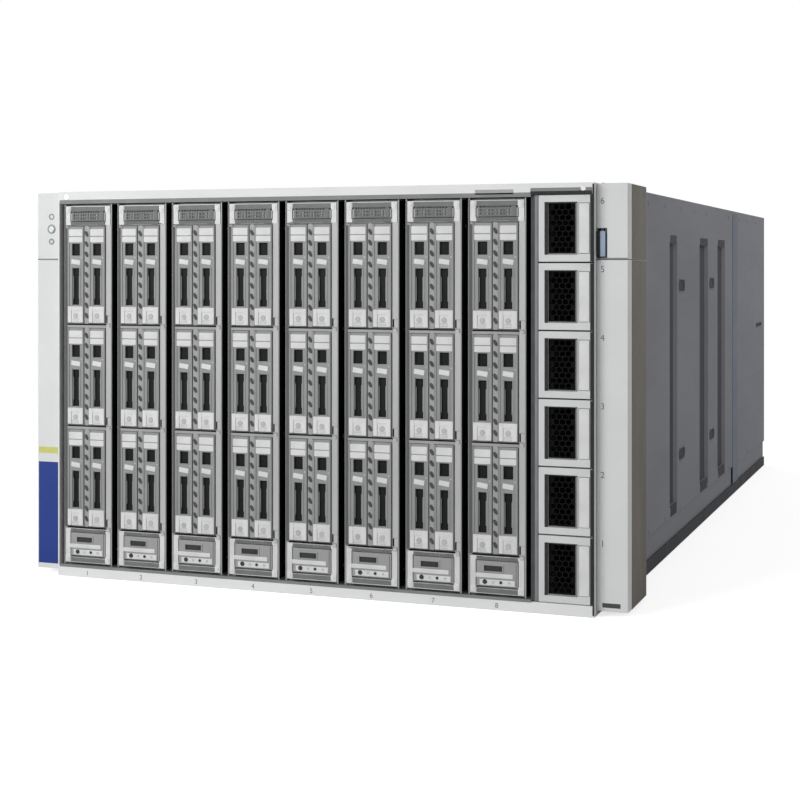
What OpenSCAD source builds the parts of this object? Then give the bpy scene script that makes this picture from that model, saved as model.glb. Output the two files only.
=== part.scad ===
// Seven-unit blade server chassis: eight upright compute nodes and six power
// supplies at the front, four fans between fabric and expansion modules at
// the rear, in a riveted sheet body with rack flanges under clip-on side
// panels. Millimetres; +X to the right seen from the front, +Y to the rear,
// +Z up. The origin is on the centre line, in the plane of the side panels'
// front faces, at the underside.

/* [Chassis body] */
// Width of the body between the rack posts
body_w = 446; // [440:0.5:450]
// Reach of a rack flange beside the body
ear_w = 18.3; // [17:0.1:20]
// Height of the body
body_h = 306; // [290:0.5:330]
// Depth from the side panels' front plane to the rear edge
body_d = 889; // [870:1:940]
// Thickness of the chassis sheet
sheet = 1.5; // [1.2:0.1:1.8]
// Height of the base pan's turned edges
pan_edge_h = 36; // [34:0.5:44]
// Height of the top cover's turned edges
cover_edge_h = 28; // [24:0.5:30]
// Height at which the side walls begin
wall_z0 = 30; // [24:0.5:32]
// Space between a side wall's outer face and the first slot
side_space = 7.5; // [7:0.1:8.5]

/* [Side wall pressings] */
// Depth of the channels pressed into the side walls
channel_depth = 3.5; // [2:0.1:3.9]
// Run-out of a channel's sloped sides
channel_slope = 5; // [3:0.5:7]
// Floor width of the front channel
front_channel_w = 28; // [20:1:36]
// Floor width of the two rear channels
rear_channel_w = 42; // [30:1:48]
// Height of the lanced slots beside the channels
lance_h = 10; // [7:0.5:12]
// Length of the lanced slots
lance_l = 32; // [24:1:40]

/* [Front frame] */
// Distance the frame stands ahead of the side panels
frame_proud = 6; // [5:0.5:9]
// Height of the top and bottom rails
rail_h = 8; // [7:0.5:10]
// Depth of the frame from front to back
frame_d = 26; // [24:1:32]
// Thickness of the frame's plate
frame_t = 2; // [1.5:0.1:2.5]
// Distance of the frame's side plates inside the body width
frame_inset = 4.7; // [4:0.1:5]
// Thickness of the frame's side plates
frame_side_t = 1.3; // [1:0.1:1.6]

/* [Side panels and rack flanges] */
// Depth of the side panels
panel_d = 61.5; // [54:0.5:70]
// Wall of the moulded panels and caps
panel_t = 2; // [1.6:0.1:2.6]
// Height of the caps above the side panels
cap_h = 54; // [50:0.5:60]
// Height of the side panels' lower ends above the underside
panel_z0 = 4; // [2:0.5:8]
// Radius of the panels' outer front edge
panel_r = 1; // [0.5:0.5:4]
// Thickness of the rack flanges
flange_t = 2.5; // [2:0.1:3]
// Thickness of the flanges' legs along the body
leg_t = 2; // [1.5:0.1:2.5]
// Setback of the legs' front edges
leg_y0 = 8; // [4:0.5:12]
// Distance of the rack slots' centres from the flanges' outer edges
rack_hole_edge = 8.75; // [8.5:0.05:9.5]
// Length of a rack slot
rack_slot_l = 10; // [8:0.5:11]
// Height of a rack slot
rack_slot_h = 7; // [6.5:0.1:7.2]

/* [Compute nodes] */
// Depth of a compute node without its connectors
node_d = 602; // [580:1:610]
// Gap between two neighbouring node faces
node_gap = 5.2; // [4:0.1:6]
// Gap between two neighbouring node bodies
node_body_gap = 3.5; // [3.2:0.1:4.5]
// Gap between a node and the rails above and below it
node_clear = 2; // [1.5:0.1:3]
// Setback of the node faces behind the frame's front
node_inset = 1; // [0.8:0.1:2]
// Depth of a node's front bezel
bezel_d = 14; // [12:0.5:18]
// Thickness of a node's sheet
node_sheet = 1.2; // [1:0.1:1.5]
// Height of the console zone at a node's foot
console_h = 30.5; // [28:0.5:34]
// Height of the lever zone at a node's head
lever_zone = 17.7; // [16.5:0.1:22]
// Gap between drive rows
row_gap = 4; // [3:0.1:5]
// Width of a drive carrier's face
drive_w = 16.2; // [15.6:0.1:16.8]
// Distance between the two drive columns
drive_pitch = 19.3; // [18:0.1:19.6]
// Distance of the drive columns' middle to the left of a node's middle
drive_shift = 1.2; // [0:0.1:2]
// Thickness of a drive
drive_t = 15; // [12:0.1:15.2]
// Length of a drive with its carrier
drive_d = 105; // [100:1:120]
// Distance the carriers stand ahead of the bezel
drive_proud = 0.8; // [0.4:0.1:0.8]

/* [Ejector levers] */
// Thickness of a lever frame
lever_t = 3.5; // [3:0.1:4]
// Width of a lever's arms
lever_arm = 4.2; // [3.6:0.1:5]
// Height of a lever's grip bar
grip_h = 2.8; // [2.4:0.1:3.2]
// Radius of a lever's pivot pins
lever_pin_r = 1; // [0.8:0.05:1.1]
// Thickness of the bezel cheeks that hold the pins
cheek_t = 1; // [0.8:0.1:1.4]
// Height of a pivot inside the end of the node
pivot_end = 4.5; // [4.2:0.1:5]
// Angle to which a lever opens
lever_open = 80; // [60:1:85]

/* [Power supplies] */
// Width of a power supply's face
psu_w = 39.3; // [38:0.1:41]
// Depth of a power supply behind its face
psu_d = 290; // [270:1:310]
// Space between the supplies and the side wall's outer face
psu_side = 6.2; // [6:0.1:6.6]
// Gap between two supply faces
psu_gap = 1; // [0.8:0.1:1.5]
// Thickness of a supply's face plate
psu_face_t = 5; // [4:0.5:5]
// Left margin of the vent in a supply's face
vent_left = 6.9; // [5:0.1:8]
// Right margin of the vent, where the latch sits
vent_right = 12.1; // [10.5:0.1:13]
// Margin of the vent above and below
vent_end = 5.7; // [4.5:0.1:8]
// Pitch of the vent's hexagons
hex_pitch = 4.4; // [4:0.1:6]
// Web between two hexagons
hex_web = 0.9; // [0.7:0.1:1.2]
// Thickness of the supplies' cage
cage_t = 1.2; // [1:0.1:1.4]
// Space between the cage and the last compute node's slot
divider_space = 4.8; // [4.6:0.1:6.5]

/* [Rear modules] */
// Setback of the module faces from the rear edge
rear_recess = 19; // [17:0.5:24]
// Height of the expansion modules
expansion_h = 84; // [76:0.5:90]
// Height of the fan modules
fan_h = 110; // [106:0.5:114]
// Depth of a fan module
fan_d = 100; // [94:1:120]
// Radius of a fan's duct
fan_r = 44; // [40:0.5:44.5]
// Blades on a rotor
fan_blades = 7; // [5:1:9]
// Radius of a rotor's hub
hub_r = 19; // [17:0.5:21]
// Radius of a rotor's shaft
shaft_r = 2; // [1.8:0.1:2.5]
// Number of port cages on a fabric module
port_count = 8; // [6:1:8]
// Depth of the connectors at the modules' and nodes' backs
connector_d = 9; // [8:0.5:10]
// Reach of a module's pull handle
handle_reach = 14; // [12:0.5:15]
// Length of a pull handle's grip
handle_l = 46; // [40:1:60]
// Radius of a handle's posts
post_r = 3; // [2.5:0.1:3.5]

/* [Clearances] */
// Running clearance of pins and shafts, on the radius
pin_clear = 0.05; // [0.03:0.01:0.08]
// Clearance of sliding faces
slide_clear = 0.3; // [0.2:0.05:0.4]
// Side clearance of modules in their bays
bay_clear = 0.5; // [0.4:0.05:0.6]
// Joint between pieces that are riveted or screwed together
seam = 0.05; // [0.02:0.01:0.1]

/* [Hidden] */
$fn = 48;
eps = 0.01;
node_count = 8;
psu_count = 6;
fan_count = 4;
rack_unit = 44.45;
rack_units = 7;
cut = 1;                       // how far a cutting solid reaches past a face

// Body and front frame
hx = body_w / 2;
rack_w = body_w + 2 * ear_w;
rack_hole_w = rack_w - 2 * rack_hole_edge;
wall_x = hx - sheet;           // inner face of a side wall
pan_x = wall_x - seam;         // outer face of the pans' turned edges
inner_x = pan_x - sheet;
frame_x = hx - frame_inset;
frame_y0 = -frame_proud;
frame_y1 = frame_y0 + frame_d;
bay_z0 = rail_h;
bay_z1 = body_h - rail_h;
bay_h = bay_z1 - bay_z0;
wall_y0 = panel_t + 0.5;

// Columns from left to right
psu_x1 = hx - psu_side;
psu_x0 = psu_x1 - psu_w;
cage_x1 = psu_x0 - bay_clear;
cage_x0 = cage_x1 - cage_t;
bay_x0 = -hx + side_space;
bay_x1 = cage_x0 - divider_space;
node_pitch = (bay_x1 - bay_x0) / node_count;
function node_x(i) = bay_x0 + (i + 0.5) * node_pitch;

// Side wall channels: [centre from the front, floor width]
channels = [
    [0.307 * body_d, front_channel_w],
    [0.488 * body_d, rear_channel_w],
    [0.611 * body_d, rear_channel_w]
];
channel_z0 = pan_edge_h + sheet;
channel_z1 = body_h - channel_z0;
lance_zs = [0.26 * body_h, 0.75 * body_h];

// Side panels and rack flanges
panel_x0 = frame_x + slide_clear;
panel_x1 = rack_w / 2;
panel_z1 = body_h - 0.5 - cap_h;
cap_z0 = panel_z1 + slide_clear;
cap_z1 = body_h - 0.5;
leg_x1 = hx + leg_t;
flange_y0 = panel_d + 0.5;
flange_y1 = flange_y0 + flange_t;
flange_x1 = panel_x1 - 0.3;
rack_z = (rack_units * rack_unit - body_h) / 2;
rack_slots = [0, floor(rack_units / 2), rack_units - 1];
function rack_slot_z(k) = (k + 0.5) * rack_unit - rack_z;

// Label tab and status panel
tab_t = 2.2;
tab_h = 18;
tab_l = 52;
tab_head = [6, 2.5];
notch_w = 7.4;
notch_h = tab_h + 4;
button_r = 2.5;
button_travel = 0.6;
button_x = -(panel_x0 + 0.42 * (panel_x1 - panel_x0));
button_z = cap_z0 + 0.46 * cap_h;
lamp_r = 1.2;
lamp_step = 10;

// Compute nodes
node_face_w = node_pitch - node_gap;
node_body_w = node_pitch - node_body_gap;
node_z0 = bay_z0 + node_clear;
node_h = bay_h - 2 * node_clear;
node_y0 = frame_y0 + node_inset;
node_back = node_y0 + node_d;
bezel_y1 = node_y0 + bezel_d;
drive_h = (node_h - console_h - lever_zone - 2 * row_gap) / 3;
function row_z(k) = node_z0 + console_h + k * (drive_h + row_gap);
drive_clear = 0.3;
dot_r = 0.8;
dot_step = 8.1;
dot_margin = 6;                // from a drive row's lower edge to the first hole
function column_x(s) = s * drive_pitch / 2 - drive_shift;
board_t = 1.6;
standoff_h = 3;
standoff_r = 3;
relief = 3;                    // depth of holes and slots in a bezel's front
grille_n = 4;
grille_step = 3;
grille_w = 1.6;
sink_l = 110;
sink_h = 81;
sink_base = 6;
fin_l = 20;
fin_t = 1;
fin_step = 8;
connector_w = 16;
connector_h = 64;
power_connector_h = 26;
power_plug_d = 4;
guide_half = min(side_space - (hx - inner_x), divider_space - slide_clear);
guide_web = 1.6;
guide_top = node_z0 - slide_clear;
guide_rib_h = 6;

// Ejector levers
lever_w = node_face_w - 2 * cheek_t - 2 * slide_clear;
lever_back = 3.2;              // how far a lever runs on behind its pivot
pin_wall = 0.5;                // sheet left in front of a pin
pivot_y = node_y0 + pin_wall + pin_clear + lever_pin_r;
pocket_d = 5.5;
top_pivot_z = node_z0 + node_h - pivot_end;
bottom_pivot_z = node_z0 + pivot_end;
top_lever_l = lever_zone - pivot_end - 1;
bottom_lever_l = console_h - pivot_end - 2;
console_w = 13.6;
console_x = -2.8;
console_port_h = 4;
console_z = bottom_pivot_z + bottom_lever_l - grip_h - 8;
block_clear = 0.6;
bar_half = 1;                  // how far the cross bar reaches past the pivot
bar_sweep = norm([lever_t / 2, bar_half]) + slide_clear;

// Power supplies
psu_pitch = bay_h / psu_count;
function psu_z(i) = bay_z0 + i * psu_pitch;
psu_y0 = frame_y0 + node_inset;
psu_y1 = psu_y0 + psu_face_t;
psu_back = psu_y1 + psu_d;
psu_sheet = 1;
socket_d = 10;
backplane_y = psu_back + socket_d;
backplane_t = 2.4;
shelf_y0 = frame_y1 + 1;
post_ys = [tab_l + 8, 0.7 * psu_d];
post_w = 30;
latch_w = 8;
latch_proud = 1;
vent_x0 = psu_x0 + vent_left;
vent_x1 = psu_x1 - vent_right;

// Rear modules
rear_y = body_d - rear_recess;
module_face_t = 2;
mate_y = node_back + connector_d + slide_clear;
module_y0 = mate_y + 0.7 * connector_d;
shelf_end = rear_y + 1;
row_z0 = bay_z0;
expansion_z0 = row_z0 + slide_clear;
fan_shelf_z = expansion_z0 + expansion_h + slide_clear;
fan_z0 = fan_shelf_z + sheet + slide_clear;
fabric_shelf_z = fan_z0 + fan_h + slide_clear;
fabric_z0 = fabric_shelf_z + sheet + slide_clear;
fabric_h = bay_z1 - slide_clear - fabric_z0;
bay_mid = (bay_x0 + bay_x1) / 2;
module_w = (bay_x1 - bay_x0 - sheet) / 2 - 2 * bay_clear;
function module_x(i) = bay_mid + (i - 0.5) * (module_w + sheet + 2 * bay_clear);
fan_pitch = (bay_x1 - bay_x0) / fan_count;
fan_w = fan_pitch - 2 * bay_clear;
function fan_x(i) = bay_x0 + (i + 0.5) * fan_pitch;
cage_wall_x = bay_x1 + bay_clear;
fan_y0 = rear_y - fan_d;
fan_cz = fan_z0 + fan_h / 2;
tip_gap = 1;
guard_t = 2;
motor_d = 16;
bearing_r = 6;
bearing_d = 22;
rotor_gap = 1;
rotor_y1 = rear_y - guard_t - motor_d - rotor_gap;
rotor_d = 34;
rotor_y0 = rotor_y1 - rotor_d;
blade_arc_r = 26;
blade_t = 1.8;
face_margin = 15;
port_margin = 12;
port_w = 19;
port_h = 9;
port_up = 16;
fabric_vent = [34, 22];        // margins of the vents below and above
expansion_vent = [10, 24];

// Power entry and bus
pem_x0 = psu_x0 + 5;
pem_x1 = psu_x1 + bay_clear;
pem_y0 = backplane_y + backplane_t;
pem_y1 = body_d - 3;
pem_sheet = 1.2;
pem_face_t = 3;
inlet_w = 29;
inlet_h = 24;
inlet_d = 22;
inlet_rim = 2;
pin_tip = 5;
pin_w = 2;
pin_l = 8;
pin_side = 6.5;
pin_up = 3;
pin_down = 5;
bus_t = 4;
bus_h = 12;
bus_gap = 6;
bus_mid_z = (fan_z0 + fan_h / 2);
bus_zs = [bus_mid_z - bus_gap / 2 - bus_h, bus_mid_z + bus_gap / 2];
bus_plug_d = connector_d - power_plug_d;
bus_y0 = node_back + power_plug_d + slide_clear + bus_plug_d;
bus_x1 = psu_x0 + bus_t;

// ---- Shared shapes ----

// A box from one corner to the other
module block(low, high) {
    translate(low) cube(high - low);
}

// A cylinder along Y from y0 to y1
module y_rod(x, z, y0, y1, r) {
    translate([x, y0, z]) rotate([-90, 0, 0]) cylinder(r = r, h = y1 - y0);
}

// A cylinder along X from x0 to x1
module x_rod(y, z, x0, x1, r) {
    translate([x0, y, z]) rotate([0, 90, 0]) cylinder(r = r, h = x1 - x0);
}

// Extrudes an outline drawn in X and Z along Y from y0 to y1
module y_extrude(y0, y1) {
    translate([0, y1, 0]) rotate([90, 0, 0]) linear_extrude(height = y1 - y0) children();
}

// Extrudes an outline drawn in Y and Z along X from x0 to x1
module x_extrude(x0, x1) {
    translate([x0, 0, 0]) rotate([90, 0, 90]) linear_extrude(height = x1 - x0) children();
}

// A slot outline with round ends, l long over all and h high
module slot_outline(l, h) {
    square([l - h, h], center = true);
    for (s = [-1, 1]) translate([s * (l - h) / 2, 0]) circle(r = h / 2);
}

// A rectangle with round corners, centred
module round_rect(w, h, r) {
    square([w - 2 * r, h], center = true);
    square([w, h - 2 * r], center = true);
    for (sx = [-1, 1]) for (sy = [-1, 1])
        translate([sx * (w / 2 - r), sy * (h / 2 - r)]) circle(r = r);
}

// ---- Chassis body ----

// Pan with turned edges of height h: the base, and upside down the top cover
module edged_pan(h) {
    block([-pan_x, frame_y1, 0], [pan_x, body_d, sheet]);
    for (x = [-pan_x, inner_x])
        block([x, frame_y1, 0], [x + sheet, body_d, h]);
}

// Plan of one pressed channel; grow adds the sheet behind it
module channel_plan(c, grow) {
    x_floor = hx - channel_depth - grow;
    x_mouth = grow > 0 ? hx : hx + cut;
    half = c[1] / 2 + grow;
    polygon([
        [x_mouth, c[0] - half - channel_slope], [x_floor, c[0] - half],
        [x_floor, c[0] + half], [x_mouth, c[0] + half + channel_slope]
    ]);
}

module side_wall() {
    difference() {
        union() {
            block([wall_x, wall_y0, wall_z0], [hx, body_d, body_h]);
            for (c = channels)
                translate([0, 0, channel_z0])
                    linear_extrude(height = channel_z1 - channel_z0) channel_plan(c, sheet);
        }
        for (c = channels)
            translate([0, 0, channel_z0 + sheet])
                linear_extrude(height = channel_z1 - channel_z0 - 2 * sheet) channel_plan(c, 0);
        for (k = [0, 1]) for (z = lance_zs)
            x_extrude(wall_x - cut, hx + cut)
                translate([channels[k][0] + channels[k][1] / 2 + channel_slope + 0.7 * lance_l, z])
                    slot_outline(lance_l, lance_h);
        x_extrude(wall_x - cut, hx + cut)
            translate([body_d - 1.6 * lance_l, 0.575 * body_h]) slot_outline(1.6 * lance_l, 0.4 * lance_h);
    }
}

module chassis_shell() {
    color([0.5, 0.51, 0.54]) {
        edged_pan(pan_edge_h);
        side_wall();
        mirror([1, 0, 0]) side_wall();
    }
}

module top_cover() {
    color([0.55, 0.56, 0.58])
        translate([0, 0, body_h]) mirror([0, 0, 1]) edged_pan(cover_edge_h);
}

// Cross-section of a rail: a channel open to the rear
module rail_outline() {
    translate([frame_y0, 0]) {
        square([frame_t, rail_h]);
        square([frame_d, sheet]);
        translate([0, rail_h - sheet]) square([frame_d, sheet]);
    }
}

module front_frame() {
    color([0.85, 0.86, 0.86]) {
        x_extrude(-frame_x, frame_x) rail_outline();
        translate([0, 0, body_h]) mirror([0, 0, 1]) x_extrude(-frame_x, frame_x) rail_outline();
        for (s = [-1, 1]) {
            x = s > 0 ? frame_x - frame_side_t : -frame_x;
            block([x, frame_y0, 0], [x + frame_side_t, frame_y1, body_h]);
        }
    }
}

// Cross-section of a guide rail that carries the edges of two nodes
module guide_outline() {
    translate([-guide_half, sheet]) square([2 * guide_half, sheet]);
    translate([-guide_half, guide_top - sheet]) square([2 * guide_half, sheet]);
    translate([-guide_web / 2, sheet]) square([guide_web, guide_top + guide_rib_h - sheet]);
}

module node_guides() {
    color([0.35, 0.36, 0.38])
        for (i = [0:node_count]) {
            x = bay_x0 + i * node_pitch;
            translate([x, 0, 0]) y_extrude(frame_y1 + 1, node_back - 2) guide_outline();
            translate([x, 0, body_h]) mirror([0, 0, 1])
                y_extrude(frame_y1 + 1, node_back - 2) guide_outline();
        }
}

module psu_cage() {
    color([0.3, 0.31, 0.33]) {
        block([cage_x0, shelf_y0, sheet], [cage_x1, backplane_y, body_h - sheet]);
        for (i = [0:psu_count])
            block([cage_x1 - eps, shelf_y0, psu_z(i) - cage_t / 2],
                  [psu_x1 + bay_clear, psu_back - 2, psu_z(i) + cage_t / 2]);
        for (y = post_ys)
            block([psu_x1 + bay_clear - eps, y, sheet], [inner_x, y + post_w, body_h - sheet]);
    }
}

// ---- Power path ----

module power_backplane() {
    color([0.1, 0.3, 0.16])
        block([cage_x0, backplane_y, bay_z0], [pem_x1, pem_y0, bay_z1]);
    color([0.08, 0.08, 0.09])
        for (i = [0:psu_count - 1])
            block([psu_x0 + 8, psu_back + slide_clear, psu_z(i) + psu_pitch / 2 - 9],
                  [psu_x1 - 8, backplane_y - seam, psu_z(i) + psu_pitch / 2 + 9]);
}

module power_busbar() {
    color([0.72, 0.45, 0.25])
        for (z = bus_zs)
            translate([0, 0, z]) linear_extrude(height = bus_h) polygon([
                [psu_x0, pem_y0], [bus_x1, pem_y0], [bus_x1, bus_y0 + bus_t],
                [bay_x0, bus_y0 + bus_t], [bay_x0, bus_y0], [psu_x0, bus_y0]
            ]);
    color([0.1, 0.1, 0.11]) {
        block([-wall_x, bus_y0 - 2, bus_zs[0] - 2],
              [bay_x0 - seam, bus_y0 + bus_t + 2, bus_zs[1] + bus_h + 2]);
        for (i = [0:node_count - 1])
            block([node_x(i) - 10, bus_y0 - bus_plug_d, bus_zs[0]],
                  [node_x(i) + 10, bus_y0 - seam, bus_zs[1] + bus_h]);
    }
}

// One inlet socket: insulator with its recess
module inlet_rim(z) {
    x = (pem_x0 + pem_x1) / 2;
    difference() {
        block([x - inlet_w / 2 - inlet_rim, pem_y1 - inlet_d - inlet_rim, z - inlet_h / 2 - inlet_rim],
              [x + inlet_w / 2 + inlet_rim, pem_y1 + 1, z + inlet_h / 2 + inlet_rim]);
        y_extrude(pem_y1 - inlet_d, pem_y1 + 1 + cut)
            translate([x, z]) round_rect(inlet_w, inlet_h, 3);
    }
}

// The three flat pins, moulded into the insulator's floor
module inlet_pins(z) {
    x = (pem_x0 + pem_x1) / 2;
    for (p = [[-pin_side, pin_up], [pin_side, pin_up], [0, -pin_down]])
        block([x + p[0] - pin_w / 2, pem_y1 - inlet_d - eps, z + p[1] - pin_l / 2],
              [x + p[0] + pin_w / 2, pem_y1 - pin_tip, z + p[1] + pin_l / 2]);
}

module power_entry_module() {
    face_y = pem_y1 - pem_face_t;
    color([0.55, 0.56, 0.58]) {
        difference() {
            block([pem_x0, pem_y0, bay_z0], [pem_x1, pem_y1, bay_z1]);
            block([pem_x0 + pem_sheet, pem_y0 + pem_sheet, bay_z0 + pem_sheet],
                  [pem_x1 - pem_sheet, face_y, bay_z1 - pem_sheet]);
            for (i = [0:psu_count - 1]) {
                x = (pem_x0 + pem_x1) / 2;
                z = psu_z(i) + psu_pitch / 2;
                half = [inlet_w / 2 + inlet_rim + seam, inlet_h / 2 + inlet_rim + seam];
                block([x - half[0], face_y - cut, z - half[1]], [x + half[0], pem_y1 + cut, z + half[1]]);
            }
        }
    }
    color([0.08, 0.08, 0.09])
        for (i = [0:psu_count - 1]) {
            inlet_rim(psu_z(i) + psu_pitch / 2);
            inlet_pins(psu_z(i) + psu_pitch / 2);
        }
}

// ---- Rear structure ----

module rear_frame() {
    y0 = shelf_end + 2;
    color([0.5, 0.51, 0.54])
        difference() {
            block([-inner_x, y0, sheet], [inner_x, body_d, body_h - sheet]);
            block([bay_x0 - 1, y0 - cut, bay_z0 - 1], [cage_wall_x + sheet, body_d + cut, bay_z1 + 1]);
            block([pem_x0 - slide_clear, y0 - cut, bay_z0 - slide_clear],
                  [pem_x1 + slide_clear, body_d + cut, bay_z1 + slide_clear]);
        }
}

module module_cage() {
    y0 = module_y0;
    x0 = -inner_x;
    x1 = cage_wall_x + sheet;
    color([0.42, 0.43, 0.45]) {
        block([x0, y0, sheet], [x0 + sheet, shelf_end, body_h - sheet]);
        block([cage_wall_x, y0, sheet], [x1, shelf_end, body_h - sheet]);
        for (z = [row_z0 - sheet, fan_shelf_z, fabric_shelf_z])
            block([x0, y0, z], [x1, shelf_end, z + sheet]);
        block([bay_mid - sheet / 2, y0, row_z0 - eps], [bay_mid + sheet / 2, shelf_end, fan_shelf_z + eps]);
        block([bay_mid - sheet / 2, y0, fabric_shelf_z], [bay_mid + sheet / 2, shelf_end, body_h - sheet]);
    }
}

// ---- Rack flanges, caps and side panels ----

module rack_ear() {
    difference() {
        union() {
            block([hx, leg_y0, wall_z0], [leg_x1, flange_y1, body_h - 2]);
            block([hx, flange_y0, panel_z0], [flange_x1, flange_y1, body_h - 2]);
        }
        for (k = rack_slots)
            y_extrude(flange_y0 - cut, flange_y1 + cut)
                translate([rack_hole_w / 2, rack_slot_z(k)]) slot_outline(rack_slot_l, rack_slot_h);
    }
}

module left_rack_ear() {
    color([0.45, 0.46, 0.48]) mirror([1, 0, 0]) rack_ear();
}

module right_rack_ear() {
    color([0.45, 0.46, 0.48]) rack_ear();
}

// Plan of a moulded panel: front wall and outer wall with a round edge
module panel_plan() {
    difference() {
        union() {
            translate([panel_x0, 0]) square([panel_x1 - panel_x0 - panel_r, panel_t]);
            translate([panel_x1 - panel_t, panel_r]) square([panel_t, panel_d - panel_r]);
            intersection() {
                translate([panel_x1 - panel_r, panel_r]) circle(r = panel_r);
                translate([panel_x1 - panel_r, 0]) square(panel_r);
            }
            translate([panel_x1 - panel_r - panel_t, 0]) square([panel_t, panel_r + panel_t]);
            translate([panel_x1 - panel_r - panel_t, panel_r]) square([panel_r + panel_t, panel_t]);
        }
    }
}

// A box section open to the rear, from z0 to z1, with end walls
module panel_body(z0, z1) {
    translate([0, 0, z0]) linear_extrude(height = z1 - z0) panel_plan();
    for (z = [z0, z1 - panel_t])
        block([leg_x1 + slide_clear, panel_t - eps, z], [panel_x1 - panel_t + eps, panel_d, z + panel_t]);
}

module side_panel() {
    panel_body(panel_z0, panel_z1);
    // stiffening ribs across the inside
    for (f = [1 / 3, 2 / 3]) {
        z = panel_z0 + f * (panel_z1 - panel_z0);
        block([leg_x1 + slide_clear, panel_t - eps, z - panel_t / 2],
              [panel_x1 - panel_t + eps, panel_d / 2, z + panel_t / 2]);
    }
}

module left_side_panel() {
    color([0.88, 0.89, 0.89]) mirror([1, 0, 0]) side_panel();
}

module right_side_panel() {
    color([0.88, 0.89, 0.89]) side_panel();
}

module status_panel() {
    color([0.88, 0.89, 0.89])
        difference() {
            mirror([1, 0, 0]) panel_body(cap_z0, cap_z1);
            y_rod(button_x, button_z, -cut, panel_t + cut, button_r + pin_clear);
            for (s = [-1, 1])
                y_rod(button_x, button_z + s * lamp_step, -cut, panel_t + cut, lamp_r);
        }
    // lamps and the board that carries them
    color([0.1, 0.3, 0.16])
        block([-panel_x1 + panel_t + seam, panel_t + 4, button_z - 1.6 * lamp_step],
              [-leg_x1 - slide_clear, panel_t + 4 + board_t, button_z + 1.6 * lamp_step]);
    color([0.5, 0.8, 0.5])
        for (s = [-1, 1])
            y_rod(button_x, button_z + s * lamp_step, 0, panel_t + 4 - seam, lamp_r - pin_clear);
}

module locator_button() {
    color([0.75, 0.77, 0.8]) {
        y_rod(button_x, button_z, -button_travel - 0.2, panel_t + 3.2, button_r);
        y_rod(button_x, button_z, panel_t + slide_clear, panel_t + slide_clear + 1, button_r + 1.2);
    }
}

module right_ear_cap() {
    color([0.88, 0.89, 0.89])
        difference() {
            panel_body(cap_z0, cap_z1);
            block([panel_x0 - cut, -cut, cap_z0 - cut],
                  [panel_x0 + notch_w, panel_t + cut, cap_z0 + notch_h]);
        }
}

module label_tab() {
    z0 = cap_z0 + (notch_h - tab_h) / 2;
    x0 = panel_x0 + 0.2;
    color([0.45, 0.55, 0.75]) {
        block([x0, -1, z0], [x0 + tab_t, tab_l, z0 + tab_h]);
        block([x0, -1, z0], [x0 + tab_head[0], -1 + tab_head[1], z0 + tab_h]);
    }
}

// ---- Compute nodes ----

// Pocket for a lever and the block that stays inside it
module lever_pocket(z0, z1, block_z0, block_z1) {
    half = node_face_w / 2 - cheek_t;
    block_half = lever_w / 2 - lever_arm - block_clear;
    difference() {
        block([-half, node_y0 - cut, z0], [half, node_y0 + pocket_d, z1]);
        block([-block_half, node_y0 - 2 * cut, block_z0], [block_half, node_y0 + pocket_d + cut, block_z1]);
    }
}

module node_bezel() {
    half = node_face_w / 2;
    top = node_z0 + node_h;
    window_w = drive_w + 2 * drive_clear;
    top_in = top_pivot_z - top_lever_l;
    bottom_in = bottom_pivot_z + bottom_lever_l;
    difference() {
        block([-half, node_y0, node_z0], [half, bezel_y1, top]);
        for (k = [0:2]) for (s = [-1, 1])
            block([column_x(s) - window_w / 2, node_y0 - cut, row_z(k) - drive_clear],
                  [column_x(s) + window_w / 2, bezel_y1 + cut, row_z(k) + drive_h + drive_clear]);
        // vent holes between the columns
        for (k = [0:2]) for (j = [0:floor((drive_h - 2 * dot_margin) / dot_step)])
            y_rod(-drive_shift, row_z(k) + dot_margin + j * dot_step,
                  node_y0 - cut, node_y0 + relief, dot_r);
        lever_pocket(top_in - 0.4, top + cut, top_in + grip_h + block_clear, top_pivot_z - bar_sweep);
        lever_pocket(node_z0 - cut, bottom_in + 0.4, bottom_pivot_z + bar_sweep,
                     bottom_in - grip_h - block_clear);
        for (z = [top_pivot_z, bottom_pivot_z])
            x_rod(pivot_y, z, -half - cut, half + cut, lever_pin_r + pin_clear);
        // console port
        block([console_x - console_w / 2, node_y0 - cut, console_z],
              [console_x + console_w / 2, node_y0 + relief, console_z + console_port_h]);
        // grille of the head block
        for (j = [-grille_n:grille_n])
            block([j * grille_step - grille_w / 2, node_y0 - cut, top_in + grip_h + block_clear + 1],
                  [j * grille_step + grille_w / 2, node_y0 + relief, top_pivot_z - bar_sweep - 1]);
    }
    // power button, locator button and two lamps
    for (j = [0:3])
        y_rod(-9 + 6 * j, bottom_pivot_z + bar_sweep + 3.2, node_y0 - 0.4, node_y0 + 1, j == 0 ? 2 : 1.3);
}

// A drive in its carrier, at the origin of its bay's lower edge
module drive_carrier() {
    y0 = node_y0 - drive_proud;
    half = drive_w / 2;
    difference() {
        union() {
            block([-half, y0, 0], [half, bezel_y1, drive_h]);
            block([-half + 1, y0 - 0.2, 0.5], [half - 1, y0 + eps, 0.165 * drive_h]);
            block([-drive_t / 2, bezel_y1 - eps, 3], [drive_t / 2, y0 + drive_d, drive_h - 3]);
        }
        block([-2.5, y0 - cut, 0.19 * drive_h], [2.5, y0 + 2.5, 0.57 * drive_h]);
        block([-3.5, y0 - cut, 0.71 * drive_h], [3.5, y0 + 1.5, 0.8 * drive_h]);
        for (s = [-1, 1])
            block([s * 5 - 0.6, y0 - cut, 0.2 * drive_h], [s * 5 + 0.6, y0 + 1, 0.62 * drive_h]);
    }
}

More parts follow.
